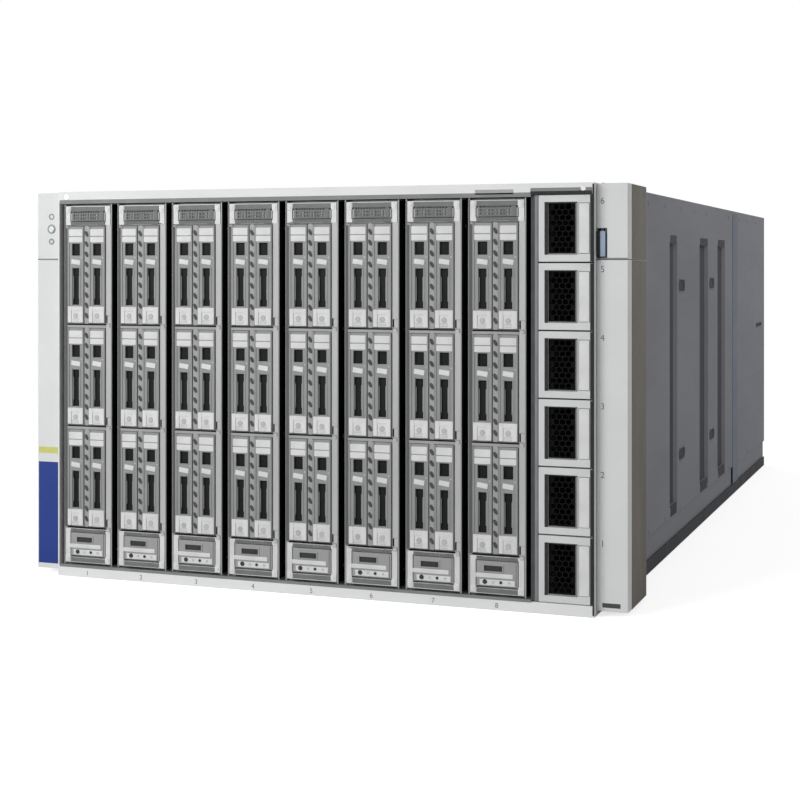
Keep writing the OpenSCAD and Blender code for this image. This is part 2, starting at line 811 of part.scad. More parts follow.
module node_tray() {
    half = node_body_w / 2;
    top = node_z0 + node_h;
    difference() {
        block([-half, bezel_y1 + seam, node_z0], [half, node_back, top]);
        block([-half + node_sheet, bezel_y1 - cut, node_z0 + node_sheet],
              [half + cut, node_back - node_sheet, top - node_sheet]);
    }
    for (y = [0.3, 0.6, 0.9]) for (z = [0.1, 0.9])
        x_rod(y * node_d, node_z0 + z * node_h, -half + node_sheet - eps,
              -half + node_sheet + standoff_h, standoff_r);
}

module node_lid() {
    half = node_body_w / 2;
    edge = node_sheet + seam;
    block([half - node_sheet, bezel_y1 + seam, node_z0 + edge],
          [half, node_back - edge, node_z0 + node_h - edge]);
}

// Board with two heat sinks
module node_board() {
    x0 = -node_body_w / 2 + node_sheet + standoff_h + seam;
    top = node_z0 + node_h;
    block([x0, node_y0 + drive_d + 4, node_z0 + 4], [x0 + board_t, node_back - 6, top - 4]);
}

module heat_sink(y) {
    x0 = -node_body_w / 2 + node_sheet + standoff_h + board_t + 2 * seam;
    x1 = x0 + sink_base;
    z0 = node_z0 + 0.35 * node_h;
    block([x0, y, z0], [x1, y + sink_l, z0 + sink_h]);
    for (z = [z0:fin_step:z0 + sink_h - fin_t])
        block([x1 - eps, y, z], [x1 + fin_l, y + sink_l, z + fin_t]);
}

module compute_node(i) {
    translate([node_x(i), 0, 0]) {
        color([0.56, 0.57, 0.59]) node_bezel();
        color([0.6, 0.61, 0.63]) {
            node_tray();
            node_lid();
        }
        color([0.78, 0.79, 0.8])
            for (k = [0:2]) for (s = [-1, 1])
                translate([column_x(s), 0, row_z(k)]) drive_carrier();
        color([0.1, 0.3, 0.16]) node_board();
        color([0.7, 0.7, 0.72]) for (f = [0.35, 0.65]) heat_sink(f * node_d);
        color([0.08, 0.08, 0.09]) {
            for (z = [node_z0 + 8, fabric_z0 + 6])
                block([-connector_w / 2, node_back + seam, z],
                      [connector_w / 2, node_back + connector_d, z + connector_h]);
            block([-connector_w / 2, node_back + seam, bus_mid_z - power_connector_h / 2],
                  [connector_w / 2, node_back + power_plug_d, bus_mid_z + power_connector_h / 2]);
        }
    }
}

// Lever frame hanging down from its pivot at the origin
module lever_frame(l) {
    half = lever_w / 2;
    y0 = -lever_t / 2;
    difference() {
        union() {
            block([-half, y0, -l], [half, -y0, 0]);
            x_extrude(-half, half) {
                circle(r = lever_t / 2);
                translate([-lever_t / 2, 0]) square([lever_t / 2, lever_back]);
                translate([-lever_t / 2, 0]) square([lever_t, lever_back - lever_t / 2]);
                translate([0, lever_back - lever_t / 2]) circle(r = lever_t / 2);
            }
            block([-half / 2, y0 - 0.6, -l], [half / 2, y0 + eps, -l + grip_h - 0.6]);
        }
        block([-half + lever_arm, y0 - cut, -l + grip_h], [half - lever_arm, cut - y0, -bar_half]);
    }
    x_rod(0, 0, -half - cheek_t - 0.1, -half + eps, lever_pin_r);
    x_rod(0, 0, half - eps, half + cheek_t + 0.1, lever_pin_r);
}

module top_lever(i) {
    color([0.88, 0.88, 0.88])
        translate([node_x(i), pivot_y, top_pivot_z]) lever_frame(top_lever_l);
}

module bottom_lever(i) {
    color([0.88, 0.88, 0.88])
        translate([node_x(i), pivot_y, bottom_pivot_z]) mirror([0, 0, 1]) lever_frame(bottom_lever_l);
}

// ---- Power supplies ----

// Hexagon mesh that fills the vent, centred on its opening
module vent_mesh(w, h) {
    row_step = hex_pitch * sqrt(3) / 2;
    cols = floor(w / hex_pitch / 2);
    rows = floor((h / 2 - 0.6 * hex_pitch) / row_step);
    difference() {
        square([w, h], center = true);
        for (r = [-rows:rows]) for (c = [-cols:cols]) {
            x = c * hex_pitch + (r % 2 == 0 ? 0 : hex_pitch / 2);
            if (abs(x) < w / 2 - 0.55 * hex_pitch)
                translate([x, r * row_step]) rotate(30) circle(d = (hex_pitch - hex_web) * 1.1547, $fn = 6);
        }
    }
}

module power_supply(i) {
    z0 = psu_z(i) + psu_gap / 2;
    z1 = psu_z(i + 1) - psu_gap / 2;
    body_x0 = psu_x0 + slide_clear;
    body_x1 = psu_x1 - slide_clear;
    body_z0 = psu_z(i) + cage_t / 2 + slide_clear;
    body_z1 = psu_z(i + 1) - cage_t / 2 - slide_clear;
    mid_z = (z0 + z1) / 2;
    vent_z0 = z0 + vent_end;
    vent_z1 = z1 - vent_end;
    latch_x = psu_x1 - vent_right / 2;
    color([0.8, 0.81, 0.81])
        difference() {
            block([psu_x0, psu_y0, z0], [psu_x1, psu_y1, z1]);
            block([vent_x0, psu_y0 - cut, vent_z0], [vent_x1, psu_y1 + cut, vent_z1]);
            block([latch_x - latch_w / 2, psu_y0 - cut, vent_z0],
                  [latch_x + latch_w / 2, psu_y0 + 2, vent_z1]);
        }
    color([0.83, 0.84, 0.84])
        block([latch_x - latch_w / 2 + slide_clear, psu_y0 - latch_proud + 0.6, vent_z0 + slide_clear],
              [latch_x + latch_w / 2 - slide_clear, psu_y0 + 2 - seam, vent_z1 - slide_clear]);
    color([0.06, 0.06, 0.07])
        y_extrude(psu_y0 + 2, psu_y0 + 3)
            translate([(vent_x0 + vent_x1) / 2, mid_z])
                vent_mesh(vent_x1 - vent_x0 - 2 * seam, vent_z1 - vent_z0 - 2 * seam);
    color([0.6, 0.61, 0.63])
        difference() {
            block([body_x0, psu_y1 + seam, body_z0], [body_x1, psu_back, body_z1]);
            block([body_x0 + psu_sheet, psu_y1 + psu_sheet, body_z0 + psu_sheet],
                  [body_x1 - psu_sheet, psu_back - psu_sheet, body_z1 - psu_sheet]);
            block([vent_x0, psu_y1 - cut, vent_z0], [vent_x1, psu_y1 + 2 * psu_sheet, vent_z1]);
            block([vent_x0, psu_back - 2 * psu_sheet, mid_z + 10],
                  [vent_x1, psu_back + cut, vent_z1]);
        }
}

// ---- Fans ----

// Finger guard: rings and spokes between the hub and the duct's edge
module guard_outline() {
    ring = 2;
    rim_r = fan_r - seam;
    step = (rim_r - hub_r) / 5;
    circle(r = hub_r);
    for (k = [1:5])
        difference() {
            circle(r = hub_r + k * step);
            circle(r = hub_r + k * step - ring);
        }
    for (a = [45:90:315])
        rotate(a) translate([hub_r - 1, -1.25]) square([rim_r - hub_r, 2.5]);
}

module pull_handle(x, z, y) {
    for (s = [-1, 1])
        y_rod(x + s * (handle_l / 2 - post_r - 1), z, y + seam, y + handle_reach - 4, post_r);
    block([x - handle_l / 2, y + handle_reach - 4 + seam, z - post_r - 0.5],
          [x + handle_l / 2, y + handle_reach, z + post_r + 0.5]);
}

module fan_module(i) {
    x0 = fan_x(i) - fan_w / 2;
    x1 = fan_x(i) + fan_w / 2;
    motor_y = rear_y - guard_t - motor_d;
    color([0.2, 0.2, 0.21])
        difference() {
            block([x0, fan_y0, fan_z0], [x1, rear_y, fan_z0 + fan_h]);
            y_rod(fan_x(i), fan_cz, fan_y0 - cut, rear_y + cut, fan_r);
        }
    color([0.65, 0.66, 0.68])
        y_extrude(rear_y - guard_t, rear_y) translate([fan_x(i), fan_cz]) guard_outline();
    color([0.12, 0.12, 0.13])
        difference() {
            union() {
                y_rod(fan_x(i), fan_cz, motor_y, rear_y - guard_t - seam, hub_r - 1);
                y_rod(fan_x(i), fan_cz, motor_y - bearing_d, motor_y + eps, bearing_r);
            }
            y_rod(fan_x(i), fan_cz, motor_y - bearing_d - cut, motor_y + 4, shaft_r + pin_clear);
        }
    color([0.2, 0.25, 0.5]) pull_handle(fan_x(i), fan_z0 + fan_h - 4.5, rear_y);
}

// Arc-shaped blade section, drawn in the tangent and axial directions
module blade_section() {
    intersection() {
        difference() {
            circle(r = blade_arc_r + blade_t / 2);
            circle(r = blade_arc_r - blade_t / 2);
        }
        translate([blade_arc_r * 0.35, 0]) rotate(-2) square([blade_arc_r, blade_arc_r * 1.02]);
    }
}

module fan_rotor(i) {
    blade_len = fan_r - tip_gap;
    mid_y = (rotor_y0 + rotor_y1) / 2;
    color([0.1, 0.1, 0.11])
        translate([fan_x(i), 0, fan_cz]) {
            difference() {
                y_rod(0, 0, rotor_y0, rotor_y1, hub_r);
                y_rod(0, 0, rotor_y0 + 4, rotor_y1 + cut, hub_r - 3);
            }
            intersection() {
                for (k = [0:fan_blades - 1])
                    rotate([0, k * 360 / fan_blades, 0])
                        translate([-0.65 * blade_arc_r, mid_y - 0.54 * blade_arc_r, hub_r - 1])
                            linear_extrude(height = blade_len) blade_section();
                difference() {
                    y_rod(0, 0, rotor_y0, rotor_y1, blade_len);
                    y_rod(0, 0, rotor_y0 - cut, rotor_y1 + cut, hub_r - 1);
                }
            }
            y_rod(0, 0, rotor_y0 + 4 - eps, rotor_y1 - 4, shaft_r);
        }
}

// ---- Fabric and expansion modules ----

// Sheet box with a face plate and front connectors
module rear_box(x, z0, h) {
    x0 = x - module_w / 2;
    x1 = x + module_w / 2;
    y1 = rear_y - module_face_t;
    difference() {
        block([x0, module_y0 + 1, z0], [x1, y1 - seam, z0 + h]);
        block([x0 + node_sheet, module_y0 + 1 + node_sheet, z0 + node_sheet],
              [x1 - node_sheet, y1 + cut, z0 + h - node_sheet]);
    }
}

// Face plate outline with a field of upright vent slots
module face_outline(x, z0, h, vent_z0, vent_z1) {
    slots = 18;
    step = (module_w - 2 * face_margin) / slots;
    difference() {
        translate([x - module_w / 2, z0]) square([module_w, h]);
        for (k = [0:slots - 1])
            translate([x + (k + 0.5 - slots / 2) * step, (vent_z0 + vent_z1) / 2])
                rotate(90) slot_outline(vent_z1 - vent_z0, 4);
    }
}

module module_connectors(m, z0) {
    for (i = [0:node_count - 1])
        if (abs(node_x(i) - module_x(m)) < module_w / 2)
            block([node_x(i) - connector_w / 2, mate_y, z0],
                  [node_x(i) + connector_w / 2, module_y0 + 1 - seam, z0 + connector_h]);
}

module fabric_module(m) {
    x = module_x(m);
    port_step = (module_w - 2 * port_margin) / port_count;
    port_z = fabric_z0 + port_up;
    ports = [for (k = [0:port_count - 1]) x + (k + 0.5 - port_count / 2) * port_step];
    color([0.62, 0.63, 0.65]) {
        rear_box(x, fabric_z0, fabric_h);
        y_extrude(rear_y - module_face_t, rear_y)
            difference() {
                face_outline(x, fabric_z0, fabric_h,
                             fabric_z0 + fabric_vent[0], fabric_z0 + fabric_h - fabric_vent[1]);
                for (px = ports) translate([px - port_w / 2, port_z - port_h / 2]) square([port_w, port_h]);
            }
    }
    // dust plugs in the port cages
    color([0.08, 0.08, 0.09]) {
        for (px = ports)
            block([px - port_w / 2 + seam, rear_y - 12, port_z - port_h / 2 + seam],
                  [px + port_w / 2 - seam, rear_y + 1, port_z + port_h / 2 - seam]);
        module_connectors(m, fabric_z0 + 6);
    }
    color([0.2, 0.25, 0.5]) pull_handle(x, fabric_z0 + fabric_h - 10, rear_y);
}

module expansion_module(m) {
    x = module_x(m);
    color([0.62, 0.63, 0.65]) {
        rear_box(x, expansion_z0, expansion_h);
        y_extrude(rear_y - module_face_t, rear_y)
            face_outline(x, expansion_z0, expansion_h,
                         expansion_z0 + expansion_vent[0], expansion_z0 + expansion_h - expansion_vent[1]);
    }
    color([0.08, 0.08, 0.09]) module_connectors(m, node_z0 + 8);
    color([0.2, 0.25, 0.5]) pull_handle(x, expansion_z0 + expansion_h - 11, rear_y);
}

chassis_shell();
top_cover();
front_frame();
node_guides();
psu_cage();
power_backplane();
power_busbar();
rear_frame();
module_cage();
left_rack_ear();
right_rack_ear();
status_panel();
right_ear_cap();
power_entry_module();
left_side_panel();
right_side_panel();
locator_button();
label_tab();
compute_node(0);  // compute_node_1
compute_node(1);  // compute_node_2
compute_node(2);  // compute_node_3
compute_node(3);  // compute_node_4
compute_node(4);  // compute_node_5
compute_node(5);  // compute_node_6
compute_node(6);  // compute_node_7
compute_node(7);  // compute_node_8
top_lever(0);  // top_lever_1
top_lever(1);  // top_lever_2
top_lever(2);  // top_lever_3
top_lever(3);  // top_lever_4
top_lever(4);  // top_lever_5
top_lever(5);  // top_lever_6
top_lever(6);  // top_lever_7
top_lever(7);  // top_lever_8
bottom_lever(0);  // bottom_lever_1
bottom_lever(1);  // bottom_lever_2
bottom_lever(2);  // bottom_lever_3
bottom_lever(3);  // bottom_lever_4
bottom_lever(4);  // bottom_lever_5
bottom_lever(5);  // bottom_lever_6
bottom_lever(6);  // bottom_lever_7
bottom_lever(7);  // bottom_lever_8
power_supply(0);  // power_supply_1
power_supply(1);  // power_supply_2
power_supply(2);  // power_supply_3
power_supply(3);  // power_supply_4
power_supply(4);  // power_supply_5
power_supply(5);  // power_supply_6
fan_module(0);  // fan_module_1
fan_module(1);  // fan_module_2
fan_module(2);  // fan_module_3
fan_module(3);  // fan_module_4
fan_rotor(0);  // fan_rotor_1
fan_rotor(1);  // fan_rotor_2
fan_rotor(2);  // fan_rotor_3
fan_rotor(3);  // fan_rotor_4
fabric_module(0);  // fabric_module_1
fabric_module(1);  // fabric_module_2
expansion_module(0);  // expansion_module_1
expansion_module(1);  // expansion_module_2
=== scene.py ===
import math

import bmesh
import bpy
from mathutils import Matrix, Vector


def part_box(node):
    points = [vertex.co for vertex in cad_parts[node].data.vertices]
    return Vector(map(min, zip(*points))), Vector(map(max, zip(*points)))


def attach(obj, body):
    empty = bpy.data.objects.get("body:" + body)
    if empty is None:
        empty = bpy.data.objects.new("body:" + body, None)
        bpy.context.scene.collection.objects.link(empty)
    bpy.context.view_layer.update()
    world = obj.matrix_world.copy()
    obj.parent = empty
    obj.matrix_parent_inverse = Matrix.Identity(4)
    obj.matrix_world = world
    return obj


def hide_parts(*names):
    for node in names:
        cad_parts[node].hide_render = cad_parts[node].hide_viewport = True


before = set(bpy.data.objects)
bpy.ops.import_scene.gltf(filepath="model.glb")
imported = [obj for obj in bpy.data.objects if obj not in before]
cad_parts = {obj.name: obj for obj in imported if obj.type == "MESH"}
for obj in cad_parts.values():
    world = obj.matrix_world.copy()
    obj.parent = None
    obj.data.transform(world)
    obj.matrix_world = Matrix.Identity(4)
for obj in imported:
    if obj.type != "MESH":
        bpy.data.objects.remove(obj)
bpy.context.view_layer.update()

bl_info = {
    "name": "Blade Server Chassis",
    "version": (1, 0, 0),
    "blender": (4, 5, 0),
    "location": "View3D > Sidebar > Blade Chassis",
    "description": "Dresses a packed blade server chassis in its finishes and fine fittings",
    "category": "Object",
}

# Lengths in this file are in millimetres unless a name ends in _M
MM = 0.001


def box_mm(node):
    """A CAD node's lowest and highest corner."""
    low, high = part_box(node)
    return low / MM, high / MM


# How many nodes, supplies and fans there are, and how many of each wide module at the rear
NODES, SUPPLIES, FANS, PAIRS = 8, 6, 4, 2
# The walls' distance from the centre line, and the body's depth and height
WALL, DEPTH, HEIGHT = box_mm("chassis_shell")[1]
FRAME_LOW, FRAME_HIGH = box_mm("front_frame")
SUPPLY_LOW, SUPPLY_HIGH = box_mm("power_supply_1")
# Channels pressed into the side walls: middle as a share of the depth, and floor width
CHANNELS = ((0.307, 28), (0.488, 42), (0.611, 42))
CHANNEL_DEPTH = 3.5
CHANNEL_ENDS = 39
# Height of the frame's rails, between which the divider of nodes and supplies stands
RAIL = 8.2


def linear(code):
    """The linear RGBA of an sRGB hex colour."""
    parts = [int(code[k:k + 2], 16) / 255 for k in (1, 3, 5)]
    return tuple(c / 12.92 if c <= 0.04045 else ((c + 0.055) / 1.055) ** 2.4 for c in parts) + (1.0,)


def settings():
    return bpy.context.scene.blade_chassis


# ---- Node trees ----

def add(tree, kind, links=None, **values):
    """Adds a node; links maps an input's name or number to a socket or a value."""
    made = tree.nodes.new(kind)
    for name, value in values.items():
        setattr(made, name, value)
    for key, value in (links or {}).items():
        if isinstance(value, bpy.types.NodeSocket):
            tree.links.new(value, made.inputs[key])
        else:
            made.inputs[key].default_value = value
    return made


def material(recipe):
    """The material that a recipe makes, made once and named after it."""
    found = bpy.data.materials.get(recipe.__name__)
    if found is None:
        found = bpy.data.materials.new(recipe.__name__)
        found.use_nodes = True
        found.node_tree.nodes.clear()
        recipe(found.node_tree)
    return found


def waver(tree, size, stretch, detail):
    """Soft noise with features this many millimetres across, drawn out along an axis by stretch."""
    where = add(tree, "ShaderNodeTexCoord")
    drawn = add(tree, "ShaderNodeMapping", {"Vector": where.outputs["Object"], "Scale": stretch})
    return add(tree, "ShaderNodeTexNoise", {"Vector": drawn.outputs[0], "Scale": 1 / (size * MM),
                                            "Detail": detail}).outputs["Fac"]


def blotches(tree, light, dark, size, stretch=(1, 1, 1)):
    """A soft drift between two tones, in patches of one size."""
    spread = add(tree, "ShaderNodeMapRange", {"Value": waver(tree, size, stretch, 3.0),
                                              "From Min": 0.3, "From Max": 0.7})
    return add(tree, "ShaderNodeMix", {0: spread.outputs[0], 6: light, 7: dark}, data_type="RGBA").outputs[2]


def grain(tree, size, low, high, stretch=(1, 1, 1)):
    """A number that wavers between low and high, in grains of one size."""
    return add(tree, "ShaderNodeMapRange", {"Value": waver(tree, size, stretch, 4.0), "From Min": 0.25,
                                            "From Max": 0.75, "To Min": low, "To Max": high}).outputs[0]


def shade(tree, light, dark, patch, rough=None, bump=None, **sockets):
    """Closes a recipe with its surface.

    light is a hex colour or a setting, and dark a hex colour or a share of light. patch is the
    size of the patches between the two, or (size, stretch). rough is (grain, least, most) and
    bump is (grain, depth), each with a stretch after it where the grain runs one way. The rest
    are the shader's own sockets.
    """
    tones = [linear(light) if isinstance(light, str) else tuple(light)]
    tones.append(linear(dark) if isinstance(dark, str) else tuple(dark * c for c in tones[0][:3]) + (1.0,))
    links = {key.replace("_", " "): value for key, value in sockets.items()}
    links["Base Color"] = blotches(tree, *tones, *(patch if isinstance(patch, tuple) else (patch,)))
    if rough:
        links["Roughness"] = grain(tree, *rough)
    if bump:
        height = grain(tree, bump[0], 0, 1, *bump[2:])
        links["Normal"] = add(tree, "ShaderNodeBump", {"Height": height, "Strength": 1.0,
                                                       "Distance": bump[1] * MM}).outputs[0]
    surface = add(tree, "ShaderNodeBsdfPrincipled", links)
    add(tree, "ShaderNodeOutputMaterial", {"Surface": surface.outputs[0]})


# ---- Finishes ----

def phosphated_sheet(tree):
    # Phosphated steel sheet under matt lacquer: grey without gloss, faint streaks along the body
    shade(tree, settings().wall_colour, 0.88, (60, (1, 0.25, 1)), (2.5, 0.6, 0.74, (1, 0.06, 1)),
          (1.2, 0.015, (1, 0.05, 1)), Specular_IOR_Level=0.06)


def blued_sheet(tree):
    # The same sheet where it was ground and lacquered again: a little lighter and bluer
    shade(tree, "#858C98", "#79808C", (50, (1, 0.25, 1)), (2.5, 0.6, 0.74), Specular_IOR_Level=0.06)


def dark_rail(tree):
    # Dark grey for painted shade on the walls: the channels' floors, the inside of the slots and the foot of
    # each wall
    shade(tree, "#515256", "#47484C", (40, (1, 1, 0.3)), (3, 0.6, 0.75), (1.2, 0.02), Specular_IOR_Level=0.06)


def weathered_plate(tree):
    # Brown-chromated steel skin on the outer sides of the flange covers
    shade(tree, "#7D766E", "#6E6861", (30, (1, 1, 0.3)), (2.5, 0.5, 0.66), (1.2, 0.015, (1, 1, 0.1)),
          Specular_IOR_Level=0.1)


def bright_zinc(tree):
    # Clear-passivated zinc on the cover and the inner sheet: paler and a little sharper
    shade(tree, "#A5A7AC", "#9C9EA4", (45, (1, 0.3, 1)), (2.5, 0.34, 0.5, (1, 0.06, 1)),
          (1.2, 0.012, (1, 0.05, 1)), Metallic=0.9)


def dark_sheet(tree):
    # Powder-coated sheet of the inner guides: matt charcoal with a fine pebble
    shade(tree, "#343537", "#2B2C2E", 25, (3, 0.55, 0.7), (1.0, 0.03))


def stoved_enamel(tree):
    # Stoved enamel on steel: orange peel about 1.5 mm across softens its highlights
    shade(tree, settings().frame_colour, 0.93, 70, (12, 0.56, 0.66), (1.5, 0.02), Specular_IOR_Level=0.08)


def rail_shade(tree):
    # Mid grey: painted shade on the rails' and supplies' lips, beside the vents and on the cage's edge; also
    # the printed rings and the caps' joint lines
    shade(tree, "#818283", "#757677", 20, (3, 0.5, 0.62), (0.8, 0.015))


def light_grey_abs(tree):
    # ABS moulded in a spark-eroded tool: an even matt grain, drawn at 0.8 mm so that it shows
    shade(tree, settings().panel_colour, 0.94, 55, (6, 0.48, 0.58), (0.8, 0.02), Specular_IOR_Level=0.45)


def bezel_steel(tree):
    # Lacquered sheet of the node fronts: mid grey, brushed upright
    shade(tree, settings().bezel_colour, 0.88, (30, (1, 1, 0.2)), (1.5, 0.42, 0.56, (1, 1, 0.05)),
          (0.9, 0.012, (1, 1, 0.05)), Metallic=0.15)


def dark_grille(tree):
    # Dark grey enamel of the head grilles and grips: dull, finely pebbled; the same grey is painted shade in
    # the label tab's notch
    shade(tree, "#6E6F70", "#636465", 14, (3, 0.5, 0.62), (0.9, 0.02))


def flank_shadow(tree):
    # Dark grey painted shade along a node's left edge
    shade(tree, "#535457", "#494A4D", (20, (1, 1, 0.2)), (2, 0.6, 0.75))


def flank_plastic(tree):
    # Pale grey painted highlight along a node's right edge; also the latches' button and thumb ribs
    shade(tree, "#B9BAB9", "#ABACAB", (22, (1, 1, 0.2)), (4, 0.42, 0.54), (0.8, 0.012))


def node_sheet(tree):
    # Mill-finish zinc-plated sheet of the node cases
    shade(tree, "#A2A4A8", "#999BA0", (40, (1, 0.3, 1)), (2.5, 0.36, 0.52, (1, 0.08, 1)),
          (1.2, 0.012, (1, 0.06, 1)), Metallic=0.9)


def carrier_plastic(tree):
    # PC/ABS of the drive carriers: mid grey, finely grained
    shade(tree, settings().carrier_colour, 0.9, 18, (4, 0.42, 0.54), (0.7, 0.015))


def latch_plastic(tree):
    # The carriers' latches and handles: the same resin in near white, polished by fingers
    shade(tree, "#DCDDDC", "#CFD0CF", 14, (5, 0.34, 0.46), (0.7, 0.012))


def lever_enamel(tree):
    # Die-cast levers under pale enamel: smooth, with a soft second highlight
    shade(tree, "#DADBDA", "#CCCDCC", 16, (4, 0.32, 0.44), (1.2, 0.012), Coat_Weight=0.2, Coat_Roughness=0.25)


def black_mesh(tree):
    # Stamped mesh with a black oxide finish: dull, with slightly bare edges; the same black is the painted
    # shadow in the gaps under a node's drive rows
    shade(tree, "#0D0D0E", "#070708", 10, (2, 0.6, 0.75), Specular_IOR_Level=0.08)


def black_plastic(tree):
    # Glass-filled PBT of sockets, fans and connectors: nearly black, silky
    shade(tree, "#202124", "#18191B", 20, (3, 0.42, 0.55), (0.8, 0.015))


def smoked_window(tree):
    # Polycarbonate tinted almost black, textured so that it stays dark: the lamps behind it are off; the same
    # dark is painted shade inside the carriers' slots
    shade(tree, "#141518", "#0C0D0F", 8, (3, 0.45, 0.6), Specular_IOR_Level=0.15)


def gasket_foam(tree):
    # Black and matt: painted shade of the gaps between the nodes, laid on their flanks
    shade(tree, "#0E0E10", "#08080A", 6, (1.5, 0.75, 0.9), (0.9, 0.05), Specular_IOR_Level=0.1)


def joint_rubber(tree):
    # Dark grey, dull, without a highlight: the joints beside the supplies, and painted shade above the
    # supplies, beside their vents and in the label tab's notch
    shade(tree, "#3A3B3D", "#303133", 6, (2, 0.6, 0.75), Specular_IOR_Level=0.1)


def shadow_grey(tree):
    # Dark grey painted shade of recesses: the divider's recess, the finger slot and the vent holes
    shade(tree, "#4E4F51", "#444547", 8, (3, 0.55, 0.7), Specular_IOR_Level=0.2)


def supply_enamel(tree):
    # Enamelled faces of the power supplies, a shade below the frame
    shade(tree, settings().supply_colour, 0.92, 30, (8, 0.38, 0.48), (1.5, 0.018))


def flange_plate(tree):
    # Thick zinc-plated plate of the rack flanges, duller and browner than the sheet
    shade(tree, "#93918E", "#807E7B", (35, (1, 1, 0.3)), (2.5, 0.42, 0.58), (1.2, 0.015), Metallic=0.8)


def board_laminate(tree):
    # Solder-masked glass laminate: green gloss over a faint weave
    shade(tree, "#1E5A36", "#174A2C", 12, (1.5, 0.28, 0.4), (0.8, 0.02))


def rolled_copper(tree):
    # Bare rolled copper bar, slightly tarnished
    shade(tree, "#C98560", "#A3653F", (30, (0.2, 1, 1)), (2, 0.28, 0.42, (0.1, 1, 1)), Metallic=1.0)


def cast_aluminium(tree):
    # Anodised heat-sink aluminium: pale, with a fine sawn grain
    shade(tree, "#C6C8CA", "#B4B6B9", 25, (1.5, 0.35, 0.5, (1, 0.1, 1)), Metallic=1.0)


def nickel_plate(tree):
    # Nickel-plated screws, rivets and pins: bright with a trace of handling
    shade(tree, "#C4C2BE", "#BBB9B5", 9, (1.5, 0.27, 0.33), Metallic=1.0)


def handle_plastic(tree):
    # Glass-filled nylon of the pull handles, slate blue
    shade(tree, "#3B4F86", "#32446F", 12, (3, 0.4, 0.52), (0.9, 0.02))


def tab_plastic(tree):
    # Polypropylene of the label tab: soft blue-grey, slightly waxy
    shade(tree, "#A3B2C6", "#95A5BB", 10, (4, 0.35, 0.45), Subsurface_Weight=0.05)


def clear_plastic(tree):
    # Light guides of acrylic, unlit: pale and glossy
    shade(tree, "#C9D2D6", "#B4BEC4", 3, Roughness=0.15, Coat_Weight=0.5, Coat_Roughness=0.05)


def blue_film(tree):
    # Printed polyester overlay, deep blue under a satin laminate
    shade(tree, settings().film_colour, 0.9, 25, (5, 0.34, 0.42), Specular_IOR_Level=0.2)


def lime_film(tree):
    # The overlay's thin accent stripe, under the same laminate
    shade(tree, "#C9CD6E", "#BCC060", 12, (5, 0.3, 0.38), Coat_Weight=0.3, Coat_Roughness=0.25)


def grey_ink(tree):
    # Screen-printed numerals and tick marks: flat and dry
    shade(tree, "#6B6E72", "#5F6266", 2, Roughness=0.6)


# ---- Meshes ----

# Edges that are rounded are sharper than SHARP, and faces meet smoothly up to CREASE
SHARP, CREASE = math.radians(50), math.radians(40)
# Vertices this close are one, for the modifiers and for the solids that are taken apart
WELD_M, MERGE_M = 1e-5, 2e-6


def solid(bm, low, high):
    """Adds a box between two corners."""
    centre = [(a + b) / 2 for a, b in zip(low, high)]
    size = [b - a for a, b in zip(low, high)]
    made = bmesh.ops.create_cube(bm, size=1.0)
    bmesh.ops.scale(bm, vec=size, verts=made["verts"])
    bmesh.ops.translate(bm, vec=centre, verts=made["verts"])
    return made["verts"]


def blocks(bm, origin, *spans):
    """Adds boxes, each given by its least and most x, y and z from an origin.

    Returns the last one's vertices.
    """
    for span in spans:
        low, high = ([origin[k] + span[2 * k + end] for k in range(3)] for end in (0, 1))
        verts = solid(bm, low, high)
    return verts


def twins(bm, origin, *spans):
    """Adds boxes given as for blocks, each with its mirror image in x."""
    for x0, x1, *rest in spans:
        blocks(bm, origin, (x0, x1, *rest), (-x1, -x0, *rest))


def on_walls(bm, inner, outer, y, z):
    """Adds a box on each side wall, from inner to outer past its face, over two spans."""
    for side in (-1, 1):
        x = sorted((side * (WALL + inner), side * (WALL + outer)))
        solid(bm, (x[0], y[0], z[0]), (x[1], y[1], z[1]))


def rod(bm, axis, centre, radius, length, sides=24, tip=None):
    """Adds a cylinder or cone along an axis from its centre point on."""
    turn = Vector(axis).to_track_quat("Z", "Y").to_matrix().to_4x4()
    middle = Vector(centre) + Vector(axis) * length / 2
    made = bmesh.ops.create_cone(bm, cap_ends=True, segments=sides, radius1=radius,
                                 radius2=radius if tip is None else tip, depth=length,
                                 matrix=Matrix.Translation(middle) @ turn)
    return made["verts"]


def pierced(bm, low, high, holes):
    """Adds an upright plate with rectangular holes, each (x0, x1, z0, z1)."""
    xs = sorted({low[0], high[0]} | {v for h in holes for v in h[:2]})
    zs = sorted({low[2], high[2]} | {v for h in holes for v in h[2:]})
    cells = {(i, j) for i, x in enumerate(zip(xs, xs[1:])) for j, z in enumerate(zip(zs, zs[1:]))
             if not any(h[0] < sum(x) / 2 < h[1] and h[2] < sum(z) / 2 < h[3] for h in holes)}
    corners = {}

    def face(*spots):
        for i, side, j in spots:
            if (i, side, j) not in corners:
                corners[i, side, j] = bm.verts.new((xs[i], (low[1], high[1])[side], zs[j]))
        bm.faces.new([corners[spot] for spot in spots])

    for i, j in sorted(cells):
        face((i, 0, j), (i + 1, 0, j), (i + 1, 0, j + 1), (i, 0, j + 1))
        face((i, 1, j), (i, 1, j + 1), (i + 1, 1, j + 1), (i + 1, 1, j))
        for di, dj, a, b in ((-1, 0, (i, j), (i, j + 1)), (1, 0, (i + 1, j + 1), (i + 1, j)),
                             (0, -1, (i + 1, j), (i, j)), (0, 1, (i, j + 1), (i + 1, j + 1))):
            if (i + di, j + dj) not in cells:
                face((a[0], 0, a[1]), (b[0], 0, b[1]), (b[0], 1, b[1]), (a[0], 1, a[1]))


